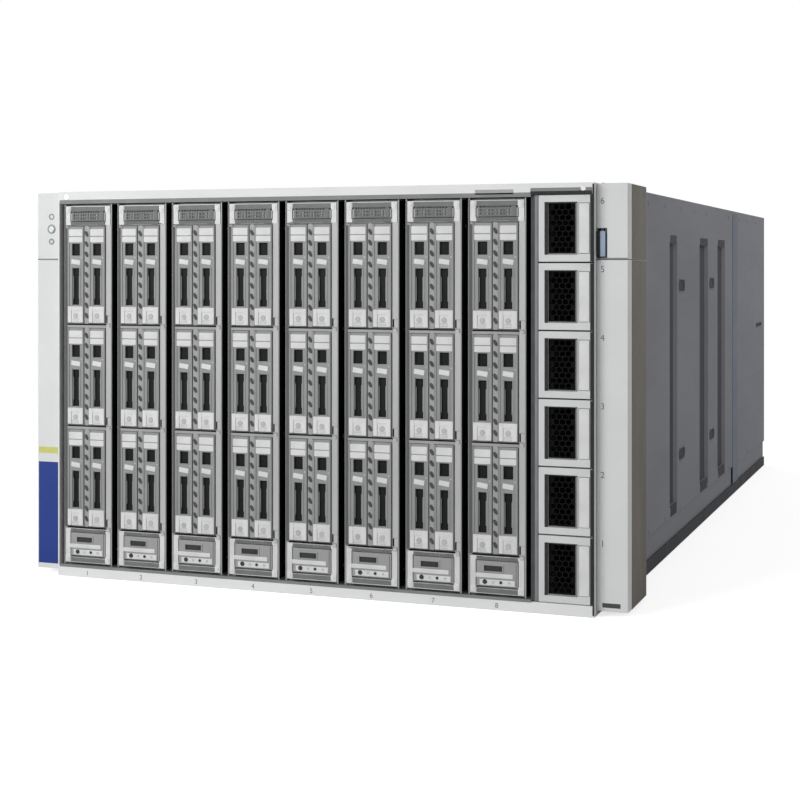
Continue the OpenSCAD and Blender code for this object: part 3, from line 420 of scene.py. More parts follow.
def close(bm, name, edge=0.0, scale=MM):
    """Turns a bmesh into a mesh in metres, with its long sharp edges rounded by edge."""
    bmesh.ops.recalc_face_normals(bm, faces=bm.faces)
    sharp = [e for e in bm.edges if e.is_manifold and e.calc_face_angle(0) > SHARP
             and e.calc_length() > 5 * edge]
    if sharp and edge > 0:
        bmesh.ops.bevel(bm, geom=sharp, offset=edge, offset_type="OFFSET", segments=2,
                        profile=0.5, affect="EDGES", clamp_overlap=False)
    bmesh.ops.scale(bm, vec=(scale,) * 3, verts=bm.verts)
    for face in bm.faces:
        face.smooth = True
    mesh = bpy.data.meshes.new(name)
    bm.to_mesh(mesh)
    bm.free()
    mesh.set_sharp_from_angle(angle=CREASE)
    return mesh


def modify(shape, kind, **values):
    """Adds a modifier with its settings."""
    made = shape.modifiers.new(kind.lower(), kind)
    for name, value in values.items():
        setattr(made, name, value)


def place(mesh, name, body, recipe, slot, offset=(0, 0, 0)):
    """Puts a piece on its body with its finish."""
    piece = bpy.data.objects.new(name, mesh)
    bpy.context.scene.collection.objects.link(piece)
    piece.location = offset
    if not mesh.materials:
        mesh.materials.append(material(recipe))
    modify(piece, "WEIGHTED_NORMAL", keep_sharp=True)
    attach(piece, body)
    return piece


def fitting(recipe, slot, edge=0.0):
    """Gives a builder its finish, slot and edge rounding, and opens and closes its mesh."""
    def wrap(build):
        def made(*args):
            bm = bmesh.new()
            build(bm, *args)
            return close(bm, build.__name__, edge)
        made.__name__, made.__doc__, made.look = build.__name__, build.__doc__, (recipe, slot)
        return made
    return wrap


def fit(*builders, body="chassis"):
    """Builds fittings and puts each on the body under its own name."""
    for build in builders:
        place(build(), build.__name__, body, *build.look)


def dress(recipe, edge, *nodes):
    """Gives CAD nodes their finish, and rounds their edges by modifiers."""
    for node in nodes:
        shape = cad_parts[node]
        shape.data.materials.clear()
        shape.data.materials.append(material(recipe))
        if edge:
            modify(shape, "WELD", merge_threshold=WELD_M)
            modify(shape, "DECIMATE", decimate_type="DISSOLVE", angle_limit=math.radians(1))
            modify(shape, "BEVEL", width=edge * MM, segments=2, limit_method="ANGLE", angle_limit=SHARP,
                   use_clamp_overlap=False)
            modify(shape, "WEIGHTED_NORMAL", keep_sharp=True)


def islands_of(bm):
    """The separate solids of a bmesh, each as a set of vertices."""
    left, found = set(bm.verts), []
    while left:
        island, reach = set(), [left.pop()]
        while reach:
            vert = reach.pop()
            island.add(vert)
            near = {link.other_vert(vert) for link in vert.link_edges} & left
            left -= near
            reach.extend(near)
        found.append(island)
    return found


def parts_of(node, sort, edge=0.0, plain=()):
    """Copies a CAD node's solids into one mesh for each kind that sort names.

    sort gets a solid's lowest and highest corner and says its kind. The kinds in plain keep
    their faces as they are, with sharp edges.
    """
    bm = bmesh.new()
    bm.from_mesh(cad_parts[node].data)
    bmesh.ops.remove_doubles(bm, verts=bm.verts, dist=MERGE_M)
    bm.verts.ensure_lookup_table()
    kinds, meshes = {}, {}
    for island in islands_of(bm):
        low, high = ([end(v.co[k] for v in island) / MM for k in range(3)] for end in (min, max))
        kinds.setdefault(sort(low, high), []).append(island)
    kinds.pop(None, None)
    for kind, islands in sorted(kinds.items()):
        part, new = bmesh.new(), {}
        for island in sorted(islands, key=lambda verts: min(v.index for v in verts)):
            for vert in sorted(island, key=lambda v: v.index):
                new[vert] = part.verts.new(vert.co)
            for face in sorted({f for v in island for f in v.link_faces}, key=lambda f: f.index):
                part.faces.new([new[v] for v in face.verts])
        if kind not in plain:
            bmesh.ops.dissolve_limit(part, angle_limit=math.radians(0.5), verts=part.verts,
                                     edges=part.edges)
        meshes[kind] = close(part, f"{node}_{kind}", 0 if kind in plain else edge * MM, 1.0)
    bm.free()
    return meshes


def stand_for(node, sort, looks, body=None):
    """Splits a CAD node by kind, gives each kind its finish and lets the first stand for the node."""
    for k, (kind, mesh) in enumerate(parts_of(node, sort, edge=0.25).items()):
        piece = place(mesh, f"{node}_{kind}", body or node, *looks[kind])
        if k == 0:
            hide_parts(node)


def shift(node, first):
    """How far a repeated CAD node lies from the first of its kind."""
    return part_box(node)[0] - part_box(first)[0]


def repeat(node, prefix, meshes, looks, face):
    """Places a module's pieces where a node of its kind lies; the one called face stands for it."""
    for kind, mesh in meshes.items():
        piece = place(mesh, f"{prefix}_{kind}", node, *looks[kind], shift(node, f"{node[:-1]}1"))
        if kind == face:
            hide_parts(node)


def colour(name, description, code):
    """A colour that the user may change."""
    return bpy.props.FloatVectorProperty(name=name, description=description, subtype="COLOR",
                                         size=4, min=0, max=1, default=linear(code))


def rounding(name, description, least, most, default):
    """A small size in millimetres that the user may change."""
    return bpy.props.FloatProperty(name=name, description=description, min=least, max=most,
                                   default=default)


class ChassisSettings(bpy.types.PropertyGroup):
    """Colours and small sizes that change the look."""

    wall_colour: colour("Side walls", "Phosphated sheet of the body", "#909197")
    frame_colour: colour("Front frame", "Enamel of the front frame's rails", "#E8E9E9")
    panel_colour: colour("Side panels", "Moulded panels over the rack flanges", "#DADBDB")
    bezel_colour: colour("Node fronts", "Brushed sheet of the node fronts", "#9B9C9B")
    carrier_colour: colour("Drive carriers", "Resin of the drive carriers", "#8E8F8F")
    supply_colour: colour("Power supplies", "Enamel of the supplies' faces", "#D2D4D4")
    film_colour: colour("Overlay", "Printed film on the left side panel", "#28408A")
    sheet_edge: rounding("Sheet edge", "Rounding of sheet-metal edges, in millimetres", 0.1, 0.6, 0.3)
    moulded_edge: rounding("Moulded edge", "Rounding of moulded edges, in millimetres", 0.2, 1.0, 0.5)


# ---- Body and cover ----

# Slots in the walls: how far behind a channel, shares of the height, half length and half height
LANCE_GAP, LANCE_SHARES, LANCE_HALF = 27.4, (0.26, 0.75), (16, 5)
# Long slot near the rear: how far before the edge, share of the height, half length and half height
VENT_SLOT = (51.2, 0.575, 25.6, 2)
# Upright lap of each wall, as shares of the depth
LAP = (0.70, 0.74)
# Steps between the rivets along the walls, and between the screws and the ribs of the cover
RIVET_STEP, RIVET_RISE, SCREW_STEP, SCREW_LANE, RIB_LANE = 72, 45, 94, 106, 110


@fitting(dark_rail, "zinc_plated_steel", 0.2)
def channel_floors(bm):
    """Dark inserts on the floors of the pressed channels, with a cap over each end."""
    low, high = CHANNEL_ENDS, HEIGHT - CHANNEL_ENDS
    for middle, width in CHANNELS:
        y0, y1 = middle * DEPTH - width / 2, middle * DEPTH + width / 2
        on_walls(bm, -CHANNEL_DEPTH - 0.1, -CHANNEL_DEPTH + 0.5, (y0 + 0.5, y1 - 0.5), (low + 1, high - 1))
        for z in ((low - 8, low + 1), (high - 1, high + 6.5)):
            on_walls(bm, -0.2, 0.35, (y0, y1), z)


def lances():
    """Place, half length and half height of each slot in a wall."""
    spots = [(middle * DEPTH + width / 2 + LANCE_GAP, share * HEIGHT, *LANCE_HALF)
             for middle, width in CHANNELS[:2] for share in LANCE_SHARES]
    ahead, share, *half = VENT_SLOT
    return spots + [(DEPTH - ahead, share * HEIGHT, *half)]


@fitting(dark_rail, "zinc_plated_steel")
def slot_backings(bm):
    """Sheet behind the slots in the walls."""
    for y, z, half_l, half_h in lances():
        on_walls(bm, -2.0, -1.2, (y - half_l, y + half_l), (z - half_h, z + half_h))


@fitting(phosphated_sheet, "zinc_plated_steel", 0.25)
def slot_lips(bm):
    """Rolled lip below and above each slot."""
    for y, z, half_l, half_h in lances():
        for end in (-1, 1):
            edge = sorted((z + end * (half_h + 0.2), z + end * (half_h + 1.4)))
            on_walls(bm, -0.3, 0.5, (y - half_l + 4, y + half_l - 4), edge)


@fitting(blued_sheet, "zinc_plated_steel", 0.2)
def rear_laps(bm):
    """Upright lap where the rear part of each wall is joined on."""
    on_walls(bm, -0.1, 0.45, [share * DEPTH for share in LAP], (12, HEIGHT - 3))


@fitting(dark_rail, "zinc_plated_steel", 0.25)
def wall_skirts(bm):
    """Dark rubbing strip along the foot of each wall."""
    on_walls(bm, -0.1, 0.5, (40, DEPTH - 4), (0.6, 11.5))


@fitting(shadow_grey, "dark_coated_steel", 0.2)
def divider_posts(bm):
    """Dark post between the last node and the power supplies."""
    solid(bm, (SUPPLY_LOW[0] - 5.7, -4.4, RAIL), (SUPPLY_LOW[0] - 2.9, 20, HEIGHT - RAIL))


@fitting(rail_shade, "dark_coated_steel", 0.2)
def divider_edges(bm):
    """Grey front edge of the power supplies' cage."""
    solid(bm, (SUPPLY_LOW[0] - 2.85, -4.7, RAIL), (SUPPLY_LOW[0] - 0.45, 20, HEIGHT - RAIL))


@fitting(phosphated_sheet, "zinc_plated_steel")
def wall_rivets(bm):
    """Rivets along the walls' lower, upper and rear edges."""
    rows = [(z, y) for z in (33.5, HEIGHT - 8) for y in range(90, int(DEPTH) - 10, RIVET_STEP)]
    rows += [(z, DEPTH - 9) for z in range(60, int(HEIGHT) - 30, RIVET_RISE)]
    for side in (-1, 1):
        for z, y in rows:
            rod(bm, (side, 0, 0), (side * (WALL - 0.1), y, z), 2.2, 0.6, 20, tip=1.5)


@fitting(nickel_plate, "zinc_plated_steel")
def cover_screws(bm):
    """Flat-head screws round the edge of the cover."""
    for x in (-2 * SCREW_LANE, -SCREW_LANE, 0, SCREW_LANE, 2 * SCREW_LANE):
        for y in range(40, int(DEPTH) - 10, SCREW_STEP):
            if abs(x) <= SCREW_LANE and 100 < y < DEPTH - 60:
                continue
            rod(bm, (0, 0, 1), (x, y, HEIGHT - 0.1), 3.2, 0.35, 24, tip=2.7)
            blocks(bm, (x, y, HEIGHT), (-0.35, 0.35, -1.9, 1.9, 0.1, 0.4))


@fitting(bright_zinc, "zinc_plated_steel", 0.9)
def cover_ribs(bm):
    """Long stiffening ribs pressed into the cover."""
    for lane in (-1.5, -0.5, 0.5, 1.5):
        for y in (70, 470):
            blocks(bm, (lane * RIB_LANE, y, HEIGHT), (-7, 7, 0, 360, -0.3, 1.0))


@fitting(nickel_plate, "zinc_plated_steel")
def rear_screws(bm):
    """Screws in the rear frame's edges."""
    low, high = box_mm("rear_frame")
    for z in (low[2] + 3.2, high[2] - 3.2):
        for k in range(9):
            x = low[0] + 12 + k * (high[0] - low[0] - 24) / 8
            rod(bm, (0, 1, 0), (x, high[1] - 0.1, z), 2.2, 0.9, 20, tip=1.7)


class CHASSIS_OT_body(bpy.types.Operator):
    """Dresses the sheet-metal body, its cover and the inner frames"""

    bl_idname = "chassis.body"
    bl_label = "Body and Cover"

    def execute(self, context):
        edge = settings().sheet_edge
        dress(phosphated_sheet, edge, "chassis_shell")
        dress(bright_zinc, edge, "top_cover", "rear_frame")
        dress(bright_zinc, 0, "module_cage")
        dress(dark_sheet, 0, "node_guides", "psu_cage")
        dress(flange_plate, edge, "left_rack_ear", "right_rack_ear")
        fit(channel_floors, slot_backings, slot_lips, rear_laps, wall_skirts, divider_posts,
            divider_edges, wall_rivets, cover_screws, cover_ribs, rear_screws)
        return {"FINISHED"}


# ---- Front frame and panels ----

@fitting(weathered_plate, "flange_steel", 0.08)
def side_skin(bm, node):
    """Thin steel skin on the outer side of a flange cover."""
    low, high = box_mm(node)
    side = 1 if high[0] > 0 else -1
    outer = high[0] if side > 0 else low[0]
    x = sorted((outer - side * 0.1, outer + side * 0.25))
    solid(bm, (x[0], low[1] + 11, low[2] + 0.3), (x[1], high[1] - 0.2, high[2] - 0.3))


@fitting(dark_grille, "flange_steel")
def notch_lining(bm):
    """Dark rear wall of the label tab's notch."""
    low, high = box_mm("label_tab")
    solid(bm, (high[0] - 0.6, 2.2, low[2] - 1.9), (high[0] + 1.6, 3.0, high[2] + 1.9))


@fitting(nickel_plate, "light_grey_enamel")
def frame_screws(bm):
    """Countersunk screws in the frame's top rail."""
    for x in (FRAME_LOW[0] + 8, FRAME_HIGH[0] - 8):
        rod(bm, (0, -1, 0), (x, FRAME_LOW[1] + 0.1, FRAME_HIGH[2] - 4), 2.0, 0.3, 24, tip=1.8)


@fitting(rail_shade, "light_grey_enamel", 0.1)
def rail_lips(bm):
    """Grey sealing lips on the rails' inner edges, clear of the nodes' path."""
    low, high = box_mm("compute_node_1")
    last = box_mm(f"compute_node_{NODES}")[1]
    for z in ((high[2] + 0.4, FRAME_HIGH[2] - 6.4), (FRAME_LOW[2] + 7.4, low[2] - 0.4)):
        solid(bm, (low[0] - 3, FRAME_LOW[1] - 0.15, z[0]), (last[0] + 3, FRAME_LOW[1] + 1.4, z[1]))


def over_supplies(bm, rise):
    """Adds a lip above the power supplies, this far over the highest one."""
    low, high = box_mm(f"power_supply_{SUPPLIES}")
    z = high[2] + 0.35 + rise
    solid(bm, (low[0] - 5.7, FRAME_LOW[1] - 0.15, z), (high[0] - 0.1, FRAME_LOW[1] + 1.2, z + 2.4))


@fitting(joint_rubber, "rotor_plastic", 0.1)
def supply_lip(bm):
    """Dark seal right above the power supplies."""
    over_supplies(bm, 0)


@fitting(rail_shade, "light_grey_enamel", 0.1)
def supply_rail(bm):
    """Grey lip above the supplies' seal."""
    over_supplies(bm, 2.4)


@fitting(joint_rubber, "rotor_plastic", 0.1)
def joint_strips(bm):
    """Dark strip in the joint between the frame and the right flange's cover."""
    solid(bm, (SUPPLY_HIGH[0] + 0.15, FRAME_LOW[1] - 0.3, FRAME_LOW[2] + 1.5),
          (FRAME_HIGH[0] - 0.1, FRAME_LOW[1] + 0.6, FRAME_HIGH[2] - 1.0))


@fitting(rail_shade, "light_grey_plastic", 0.05)
def cap_joints(bm):
    """Grey line under each flange's upper cap."""
    for node in ("status_panel", "right_ear_cap"):
        low, high = box_mm(node)
        solid(bm, (low[0] + 0.4, low[1] - 0.1, low[2] + 0.05), (high[0] - 0.4, low[1] + 0.5, low[2] + 1.15))


@fitting(bezel_steel, "light_grey_enamel", 0.1)
def rail_plate(bm):
    """Blank plate on the top rail, over the last node."""
    low, high = box_mm(f"compute_node_{NODES}")
    solid(bm, (low[0] + 6, FRAME_LOW[1] - 0.15, FRAME_HIGH[2] - 7.6),
          (high[0] - 10, FRAME_LOW[1] + 0.4, FRAME_HIGH[2] - 4.0))


@fitting(joint_rubber, "label_plastic", 0.12)
def tab_flank(bm):
    """Dark grip strip along the label tab's inner edge."""
    low, high = box_mm("label_tab")
    solid(bm, (low[0] - 0.05, low[1] - 0.35, low[2]), (low[0] + 2.4, low[1] + 1.5, high[2]))


@fitting(shadow_grey, "light_grey_plastic", 0.08)
def finger_slot(bm):
    """Dark slot for a finger or blade at the foot of the right panel."""
    blocks(bm, box_mm("right_side_panel")[0], (4.0, 17.0, -0.1, 0.4, 2.6, 5.8))


@fitting(rail_shade, "light_grey_plastic")
def status_rings(bm):
    """Printed rings around the locator button and the two lamps."""
    low, high = box_mm("locator_button")
    x, z = (low[0] + high[0]) / 2, (low[2] + high[2]) / 2
    turns = [(math.cos(a * math.pi / 16), math.sin(a * math.pi / 16)) for a in range(32)]
    for dz, inner, outer in ((0, 2.9, 3.7), (10, 1.5, 2.5), (-10, 1.5, 2.5)):
        rings = [[bm.verts.new((x + radius * c, y, z + dz + radius * s)) for c, s in turns]
                 for radius, y in ((outer, 0.0), (outer, -0.12), (inner, -0.12), (inner, 0.0))]
        for k in range(4):
            near, far = rings[k], rings[(k + 1) % 4]
            for a in range(32):
                bm.faces.new([near[a], near[(a + 1) % 32], far[(a + 1) % 32], far[a]])


class CHASSIS_OT_front(bpy.types.Operator):
    """Dresses the front frame, side panels and caps"""

    bl_idname = "chassis.front"
    bl_label = "Front Frame and Panels"

    def execute(self, context):
        edge = settings().moulded_edge
        dress(stoved_enamel, edge, "front_frame")
        dress(light_grey_abs, edge, "left_side_panel", "right_side_panel", "right_ear_cap")
        dress(tab_plastic, 0.3, "label_tab")
        dress(clear_plastic, 0.2, "locator_button")
        for node, body in (("right_side_panel", "right_side_panel"), ("right_ear_cap", "chassis"),
                           ("left_side_panel", "left_side_panel"), ("status_panel", "chassis")):
            place(side_skin(node), f"{node}_skin", body, *side_skin.look)
        fit(notch_lining, frame_screws, rail_lips, supply_lip, supply_rail, joint_strips, cap_joints,
            rail_plate)
        fit(tab_flank, body="label_tab")
        fit(finger_slot, body="right_side_panel")
        fit(status_rings)
        looks = {"cap": (light_grey_abs, "light_grey_plastic"), "lamps": (clear_plastic, "button_plastic"),
                 "board": (board_laminate, "circuit_board")}
        for kind, mesh in parts_of("status_panel", self.sort, edge=0.2, plain=("cap",)).items():
            piece = place(mesh, f"status_{kind}", "chassis", *looks[kind])
            if kind == "cap":
                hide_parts("status_panel")
        return {"FINISHED"}

    @staticmethod
    def sort(low, high):
        if high[2] - low[2] > 50:
            return "cap"
        return "board" if high[2] - low[2] > 10 else "lamps"


# ---- Compute nodes ----

# The first node, with its upper and lower lever; the other seven repeat it
NODE_LOW, NODE_HIGH = box_mm("compute_node_1")
HEAD_LOW, HEAD_HIGH = box_mm("top_lever_1")
FOOT_LOW, FOOT_HIGH = box_mm("bottom_lever_1")
MIDDLE = (HEAD_LOW[0] + HEAD_HIGH[0]) / 2
# A lever's pins end just inside the edges of the node's front
HALF = (HEAD_HIGH[0] - HEAD_LOW[0]) / 2 + 0.2
LEFT, RIGHT = MIDDLE - HALF, MIDDLE + HALF
FACE = FOOT_LOW[1] + 0.8
# Left, right, lower and upper edge of the console port
PORT = (MIDDLE - 9.6, MIDDLE + 4.0, FOOT_HIGH[2] - 10.8, FOOT_HIGH[2] - 6.8)
# Height of the row of buttons and lamps, and of the pull strip, over the lower lever's foot
BUTTON_ROW, PULL_STRIP = 8.7, 13.3
# Width of a lever's arms, which the plates of head and foot stay between
ARM = 7.2
# A lever's pivots lie this far in from its sides and from its end
PIVOT_IN, PIVOT_UP = 3.4, 3.2
# Half the width of a drive carrier, and its slot and window from its middle and its lower edge
CARRIER = 7.2
SLOT = (-3.0, 3.0, 14.5, 43.6)
WINDOW = (-3.7, 3.7, 53.6, 63.1)


class Drives:
    """Columns, rows, height, front and rear of a node's drives, from the boxes of their solids."""

    def __init__(self, boxes):
        self.columns = sorted({round((low[0] + high[0]) / 2, 3) for low, high in boxes})
        self.rows = sorted({round(low[2], 3) for low, high in boxes})
        self.middle = sum(self.columns) / 2
        low, high = min(boxes, key=lambda box: (round(box[0][2]), box[0][0]))
        self.height, self.front, self.rear = high[2] - low[2], low[1], high[1]
        self.cells = [(x, z) for z in self.rows for x in self.columns]


@fitting(carrier_plastic, "light_grey_plastic", 0.25)
def carriers(bm, drives):
    """Faces of the six carriers with their slot and window, and the drives behind them."""
    front, height = drives.front + 0.5, drives.height
    for x, z in drives.cells:
        holes = [(x + hole[0], x + hole[1], z + hole[2], z + hole[3]) for hole in (SLOT, WINDOW)]
        pierced(bm, (x - CARRIER, front, z), (x + CARRIER, front + 2.4, z + height), holes)
        twins(bm, (x, front, z), (CARRIER - 1.3, CARRIER, -0.45, 0.3, 13.8, height - 0.2),
              (3.1, 4.4, -0.3, 0.3, 14.0, 44.4), (2.3, 3.05, 0.5, 1.6, 19.5, 37.5))
        blocks(bm, (x, front, z), (0.6 - CARRIER, CARRIER - 0.6, 2.4, 14, 0.6, height - 0.6),
               (-CARRIER, CARRIER, 14, drives.rear - front, 3, height - 3))


@fitting(latch_plastic, "light_grey_plastic", 0.35)
def latches(bm, drives):
    """Latch, release button, slanted bar and ribbed head of each carrier."""
    front, slant = drives.front + 0.2, Matrix.Rotation(math.radians(8), 3, "Y")
    for x, z in drives.cells:
        bar = blocks(bm, (x, front, z), (-6.9, 6.9, -0.2, 0.6, 0.3, 13.3), (-6.9, -3.6, -0.75, 0, 0.4, 13.2),
                     (3.6, 6.9, -0.75, 0, 0.4, 13.2), (-3.8, 3.8, -0.6, 0, 9.6, 13.1),
                     (-6.5, 6.5, -0.1, 0.7, 64.0, 68.4), (-6.5, 6.5, -0.1, 0.7, 69.0, 74.6),
                     (-4.1, 4.1, -0.2, 0.7, 46.6, 50.4))
        bmesh.ops.rotate(bm, verts=bar, cent=(x, front, z + 48.5), matrix=slant)


@fitting(flank_plastic, "light_grey_plastic", 0.1)
def latch_marks(bm, drives):
    """Shallow button and thumb ribs in the middle of each latch."""
    for x, z in drives.cells:
        rod(bm, (0, -1, 0), (x, drives.front + 0.2, z + 6.0), 2.1, 0.5)
        for k in range(3):
            blocks(bm, (x, drives.front, z + k * 1.1), (-3.0, 3.0, -0.15, 0.2, 1.2, 1.6))


@fitting(smoked_window, "rotor_plastic")
def windows(bm, drives):
    """Dark lining of the slots and windows."""
    for x, z in drives.cells:
        for x0, x1, z0, z1 in (SLOT, WINDOW):
            blocks(bm, (x, drives.front + 2.2, z), (x0, x1, 0, 0.6, z0, z1))


@fitting(bezel_steel, "node_steel", 0.15)
def spine(bm, drives):
    """Strip between the two drive columns, and the narrow fillets beside them."""
    out = drives.columns[1] - drives.middle
    for z in drives.rows:
        blocks(bm, (drives.middle, FACE, z), (-2.1, 2.1, -0.1, 1.2, 0, drives.height))
        twins(bm, (drives.middle, FACE, z), (out + 7.6, out + 8.8, 0.1, 1.2, -0.3, drives.height + 0.3))


@fitting(shadow_grey, "rotor_plastic")
def spine_vents(bm, drives):
    """Slanted vent holes down the strip, dark inside."""
    count, step, lean = 9, 8.1, Matrix.Rotation(math.radians(-28), 3, "Y")
    for z in drives.rows:
        for k in range(count):
            centre = Vector((drives.middle, FACE - 0.25, z + 6 + k * step))
            verts = rod(bm, (0, 1, 0), centre, 1.35, 0.4, 16)
            bmesh.ops.scale(bm, vec=(1, 1, 1.9), verts=verts, space=Matrix.Translation(-centre))
            bmesh.ops.rotate(bm, verts=verts, cent=centre, matrix=lean)


@fitting(flank_shadow, "node_steel", 0.15)
def left_edge(bm, drives):
    """Dark edging up the left side, narrow beside the lever."""
    blocks(bm, (LEFT, FACE, 0), (0.3, 2.6, -0.15, 1, drives.rows[0] - 1, HEAD_LOW[2] - 2),
           (0.3, 1.2, -0.15, 1, HEAD_LOW[2] - 2.5, NODE_HIGH[2] - 1))


@fitting(flank_plastic, "light_grey_plastic", 0.3)
def right_edge(bm, drives):
    """Pale edging up the right side with a hook at each drive row."""
    for z in drives.rows:
        blocks(bm, (RIGHT, FACE, z), (-4.9, -0.4, -0.35, 1, 6.5, drives.height + 1.2),
               (-3.7, -0.4, -0.35, 1, 0, 6.2), (-4.4, -1.6, -0.6, 1, -3.7, -0.9))


@fitting(black_mesh, "rotor_plastic")
def seams(bm, drives):
    """Shadow gaps under the drive rows and beside the hooks."""
    for z in drives.rows:
        blocks(bm, (RIGHT, FACE, z), (LEFT + 2.8 - RIGHT, -5.0, -0.12, 0.5, -1.6, -0.5),
               (-4.9, -3.9, -0.12, 0.5, 0.4, 6.2))


@fitting(dark_grille, "node_steel")
def head(bm, drives):
    """Perforated plate between the arms of the upper lever."""
    x0, x1 = HEAD_LOW[0] + ARM, HEAD_HIGH[0] - ARM
    z0, z1 = HEAD_LOW[2] + 3.6, NODE_HIGH[2] - 6.9
    hole, across, up = 1.4, 2.2, 2.4
    corners = [(x0 + 1.4 + k * across, z0 + 1.2 + row * up)
               for k in range(int((x1 - x0 - 2.4) / across)) for row in range(3)]
    pierced(bm, (x0, FACE - 0.5, z0), (x1, FACE + 0.4, z1), [(x, x + hole, z, z + hole) for x, z in corners])
    solid(bm, (x0, FACE + 0.2, z0), (x1, FACE + 0.9, z1))


@fitting(bezel_steel, "node_steel", 0.2)
def foot(bm, drives):
    """Raised plate of the foot with the console port's rim."""
    pierced(bm, (FOOT_LOW[0] + ARM, FACE - 0.5, FOOT_LOW[2] + 5.7),
            (FOOT_HIGH[0] - ARM, FACE + 0.4, FOOT_HIGH[2] - 3.7), [PORT])
    pierced(bm, (PORT[0] - 1.1, FACE - 0.9, PORT[2] - 0.9), (PORT[1] + 1.1, FACE, PORT[3] + 1.1), [PORT])


@fitting(latch_plastic, "light_grey_plastic", 0.3)
def foot_label(bm, drives):
    """White pull strip under the port, and the strip that carries the buttons."""
    z = FOOT_LOW[2] + PULL_STRIP
    solid(bm, (FOOT_LOW[0] + 5.4, FACE - 1.0, z - 1.6), (FOOT_HIGH[0] - 9.4, FACE - 0.3, z + 1.6))
    solid(bm, (FOOT_LOW[0] + 8.4, FACE - 0.75, z - 7.0), (FOOT_HIGH[0] - 8.0, FACE - 0.3, z - 2.9))


@fitting(black_plastic, "rotor_plastic", 0.08)
def foot_ports(bm, drives):
    """Dark inside of the console port with its tongue, and the buttons' caps."""
    x0, x1, z0, z1 = PORT
    blocks(bm, (0, FACE, 0), (x0, x1, 0.1, 0.6, z0, z1), (x0 + 2, x1 - 2, -0.3, 0.3, z0 + 1.4, z1 - 1.4))
    for x, radius in ((-9, 1.7), (3, 1.1)):
        rod(bm, (0, -1, 0), (MIDDLE + x, FACE - 0.4, FOOT_LOW[2] + BUTTON_ROW), radius, 0.7)


@fitting(clear_plastic, "button_plastic", 0.08)
def lamps(bm, drives):
    """Small light guides beside the buttons and on the carriers."""
    for x in (-3, 9):
        rod(bm, (0, -1, 0), (MIDDLE + x, FACE - 0.4, FOOT_LOW[2] + BUTTON_ROW), 0.9, 0.7, 16)
    for x, z in drives.cells:
        rod(bm, (0, -1, 0), (x + 5.4, drives.front + 0.6, z + 51.9), 0.55, 0.5, 12)


@fitting(nickel_plate, "node_steel")
def screws(bm, drives):
    """Rivets of the bezel and screws of the case's lid, on the node's flanks."""
    for z in (drives.rows[0] - 18, drives.rows[1] - 2, drives.rows[2] - 2, NODE_HIGH[2] - 20):
        for y, out in ((9, 0), (60, 0.8), (160, 0.8), (280, 0.8), (420, 0.8)):
            for side in (-1, 1):
                rod(bm, (side, 0, 0), (MIDDLE + side * (HALF + out), FACE + y, z), 1.9, 0.35, 16, tip=1.4)


@fitting(gasket_foam, "rotor_plastic", 0.05)
def gaskets(bm, drives):
    """Foam gaskets on both flanks of the front."""
    twins(bm, (MIDDLE, FACE, 0), (HALF - 0.05, HALF + 0.2, 0.5, 13.6, NODE_LOW[2] + 0.6, NODE_HIGH[2] - 0.6))


@fitting(node_sheet, "node_steel", 0.4)
def ribs(bm, drives):
    """Long ribs pressed into the flank of a node's lid, clear of the guides."""
    for z in (72, 153, 234):
        for ahead in (520, 290):
            blocks(bm, (NODE_HIGH[0], NODE_HIGH[1] - ahead, z), (-0.3, 0.5, 0, 200, -4, 4))


@fitting(dark_grille, "lever_metal", 0.15)
def pads(bm, lever):
    """Dark ribbed pads on a lever's grip and cross bar."""
    low, high = box_mm(lever)
    grip, bar = (low[2] + 0.25, low[2] + 2.9), (high[2] - 4.0, high[2] - 0.6)
    if lever.startswith("bottom"):
        grip, bar = (high[2] - 2.9, high[2] - 0.25), (low[2] + 0.6, low[2] + 4.0)
    solid(bm, (low[0] + 6.0, low[1] - 0.1, grip[0]), (high[0] - 6.0, low[1] + 0.8, grip[1]))
    solid(bm, (low[0] + 6.0, low[1] + 0.3, bar[0]), (high[0] - 6.0, low[1] + 1.0, bar[1]))
    for k in range(9):
        x = low[0] + 9 + k * (high[0] - low[0] - 18) / 8
        solid(bm, (x - 0.4, low[1] - 0.3, grip[0] + 0.35), (x + 0.4, low[1], grip[1] - 0.35))


@fitting(latch_plastic, "lever_metal", 0.35)
def bosses(bm, lever):
    """Pale cheeks of a lever around its two pivots."""
    low, high = box_mm(lever)
    z = high[2] - PIVOT_UP if lever.startswith("top") else low[2] + PIVOT_UP
    for x in (low[0] + PIVOT_IN, high[0] - PIVOT_IN):
        blocks(bm, (x, low[1], z), (-2.2, 2.2, 0.2, 1.4, -2.6, 2.6))
        rod(bm, (0, -1, 0), (x, low[1] + 0.6, z), 1.1, 0.7, 20)


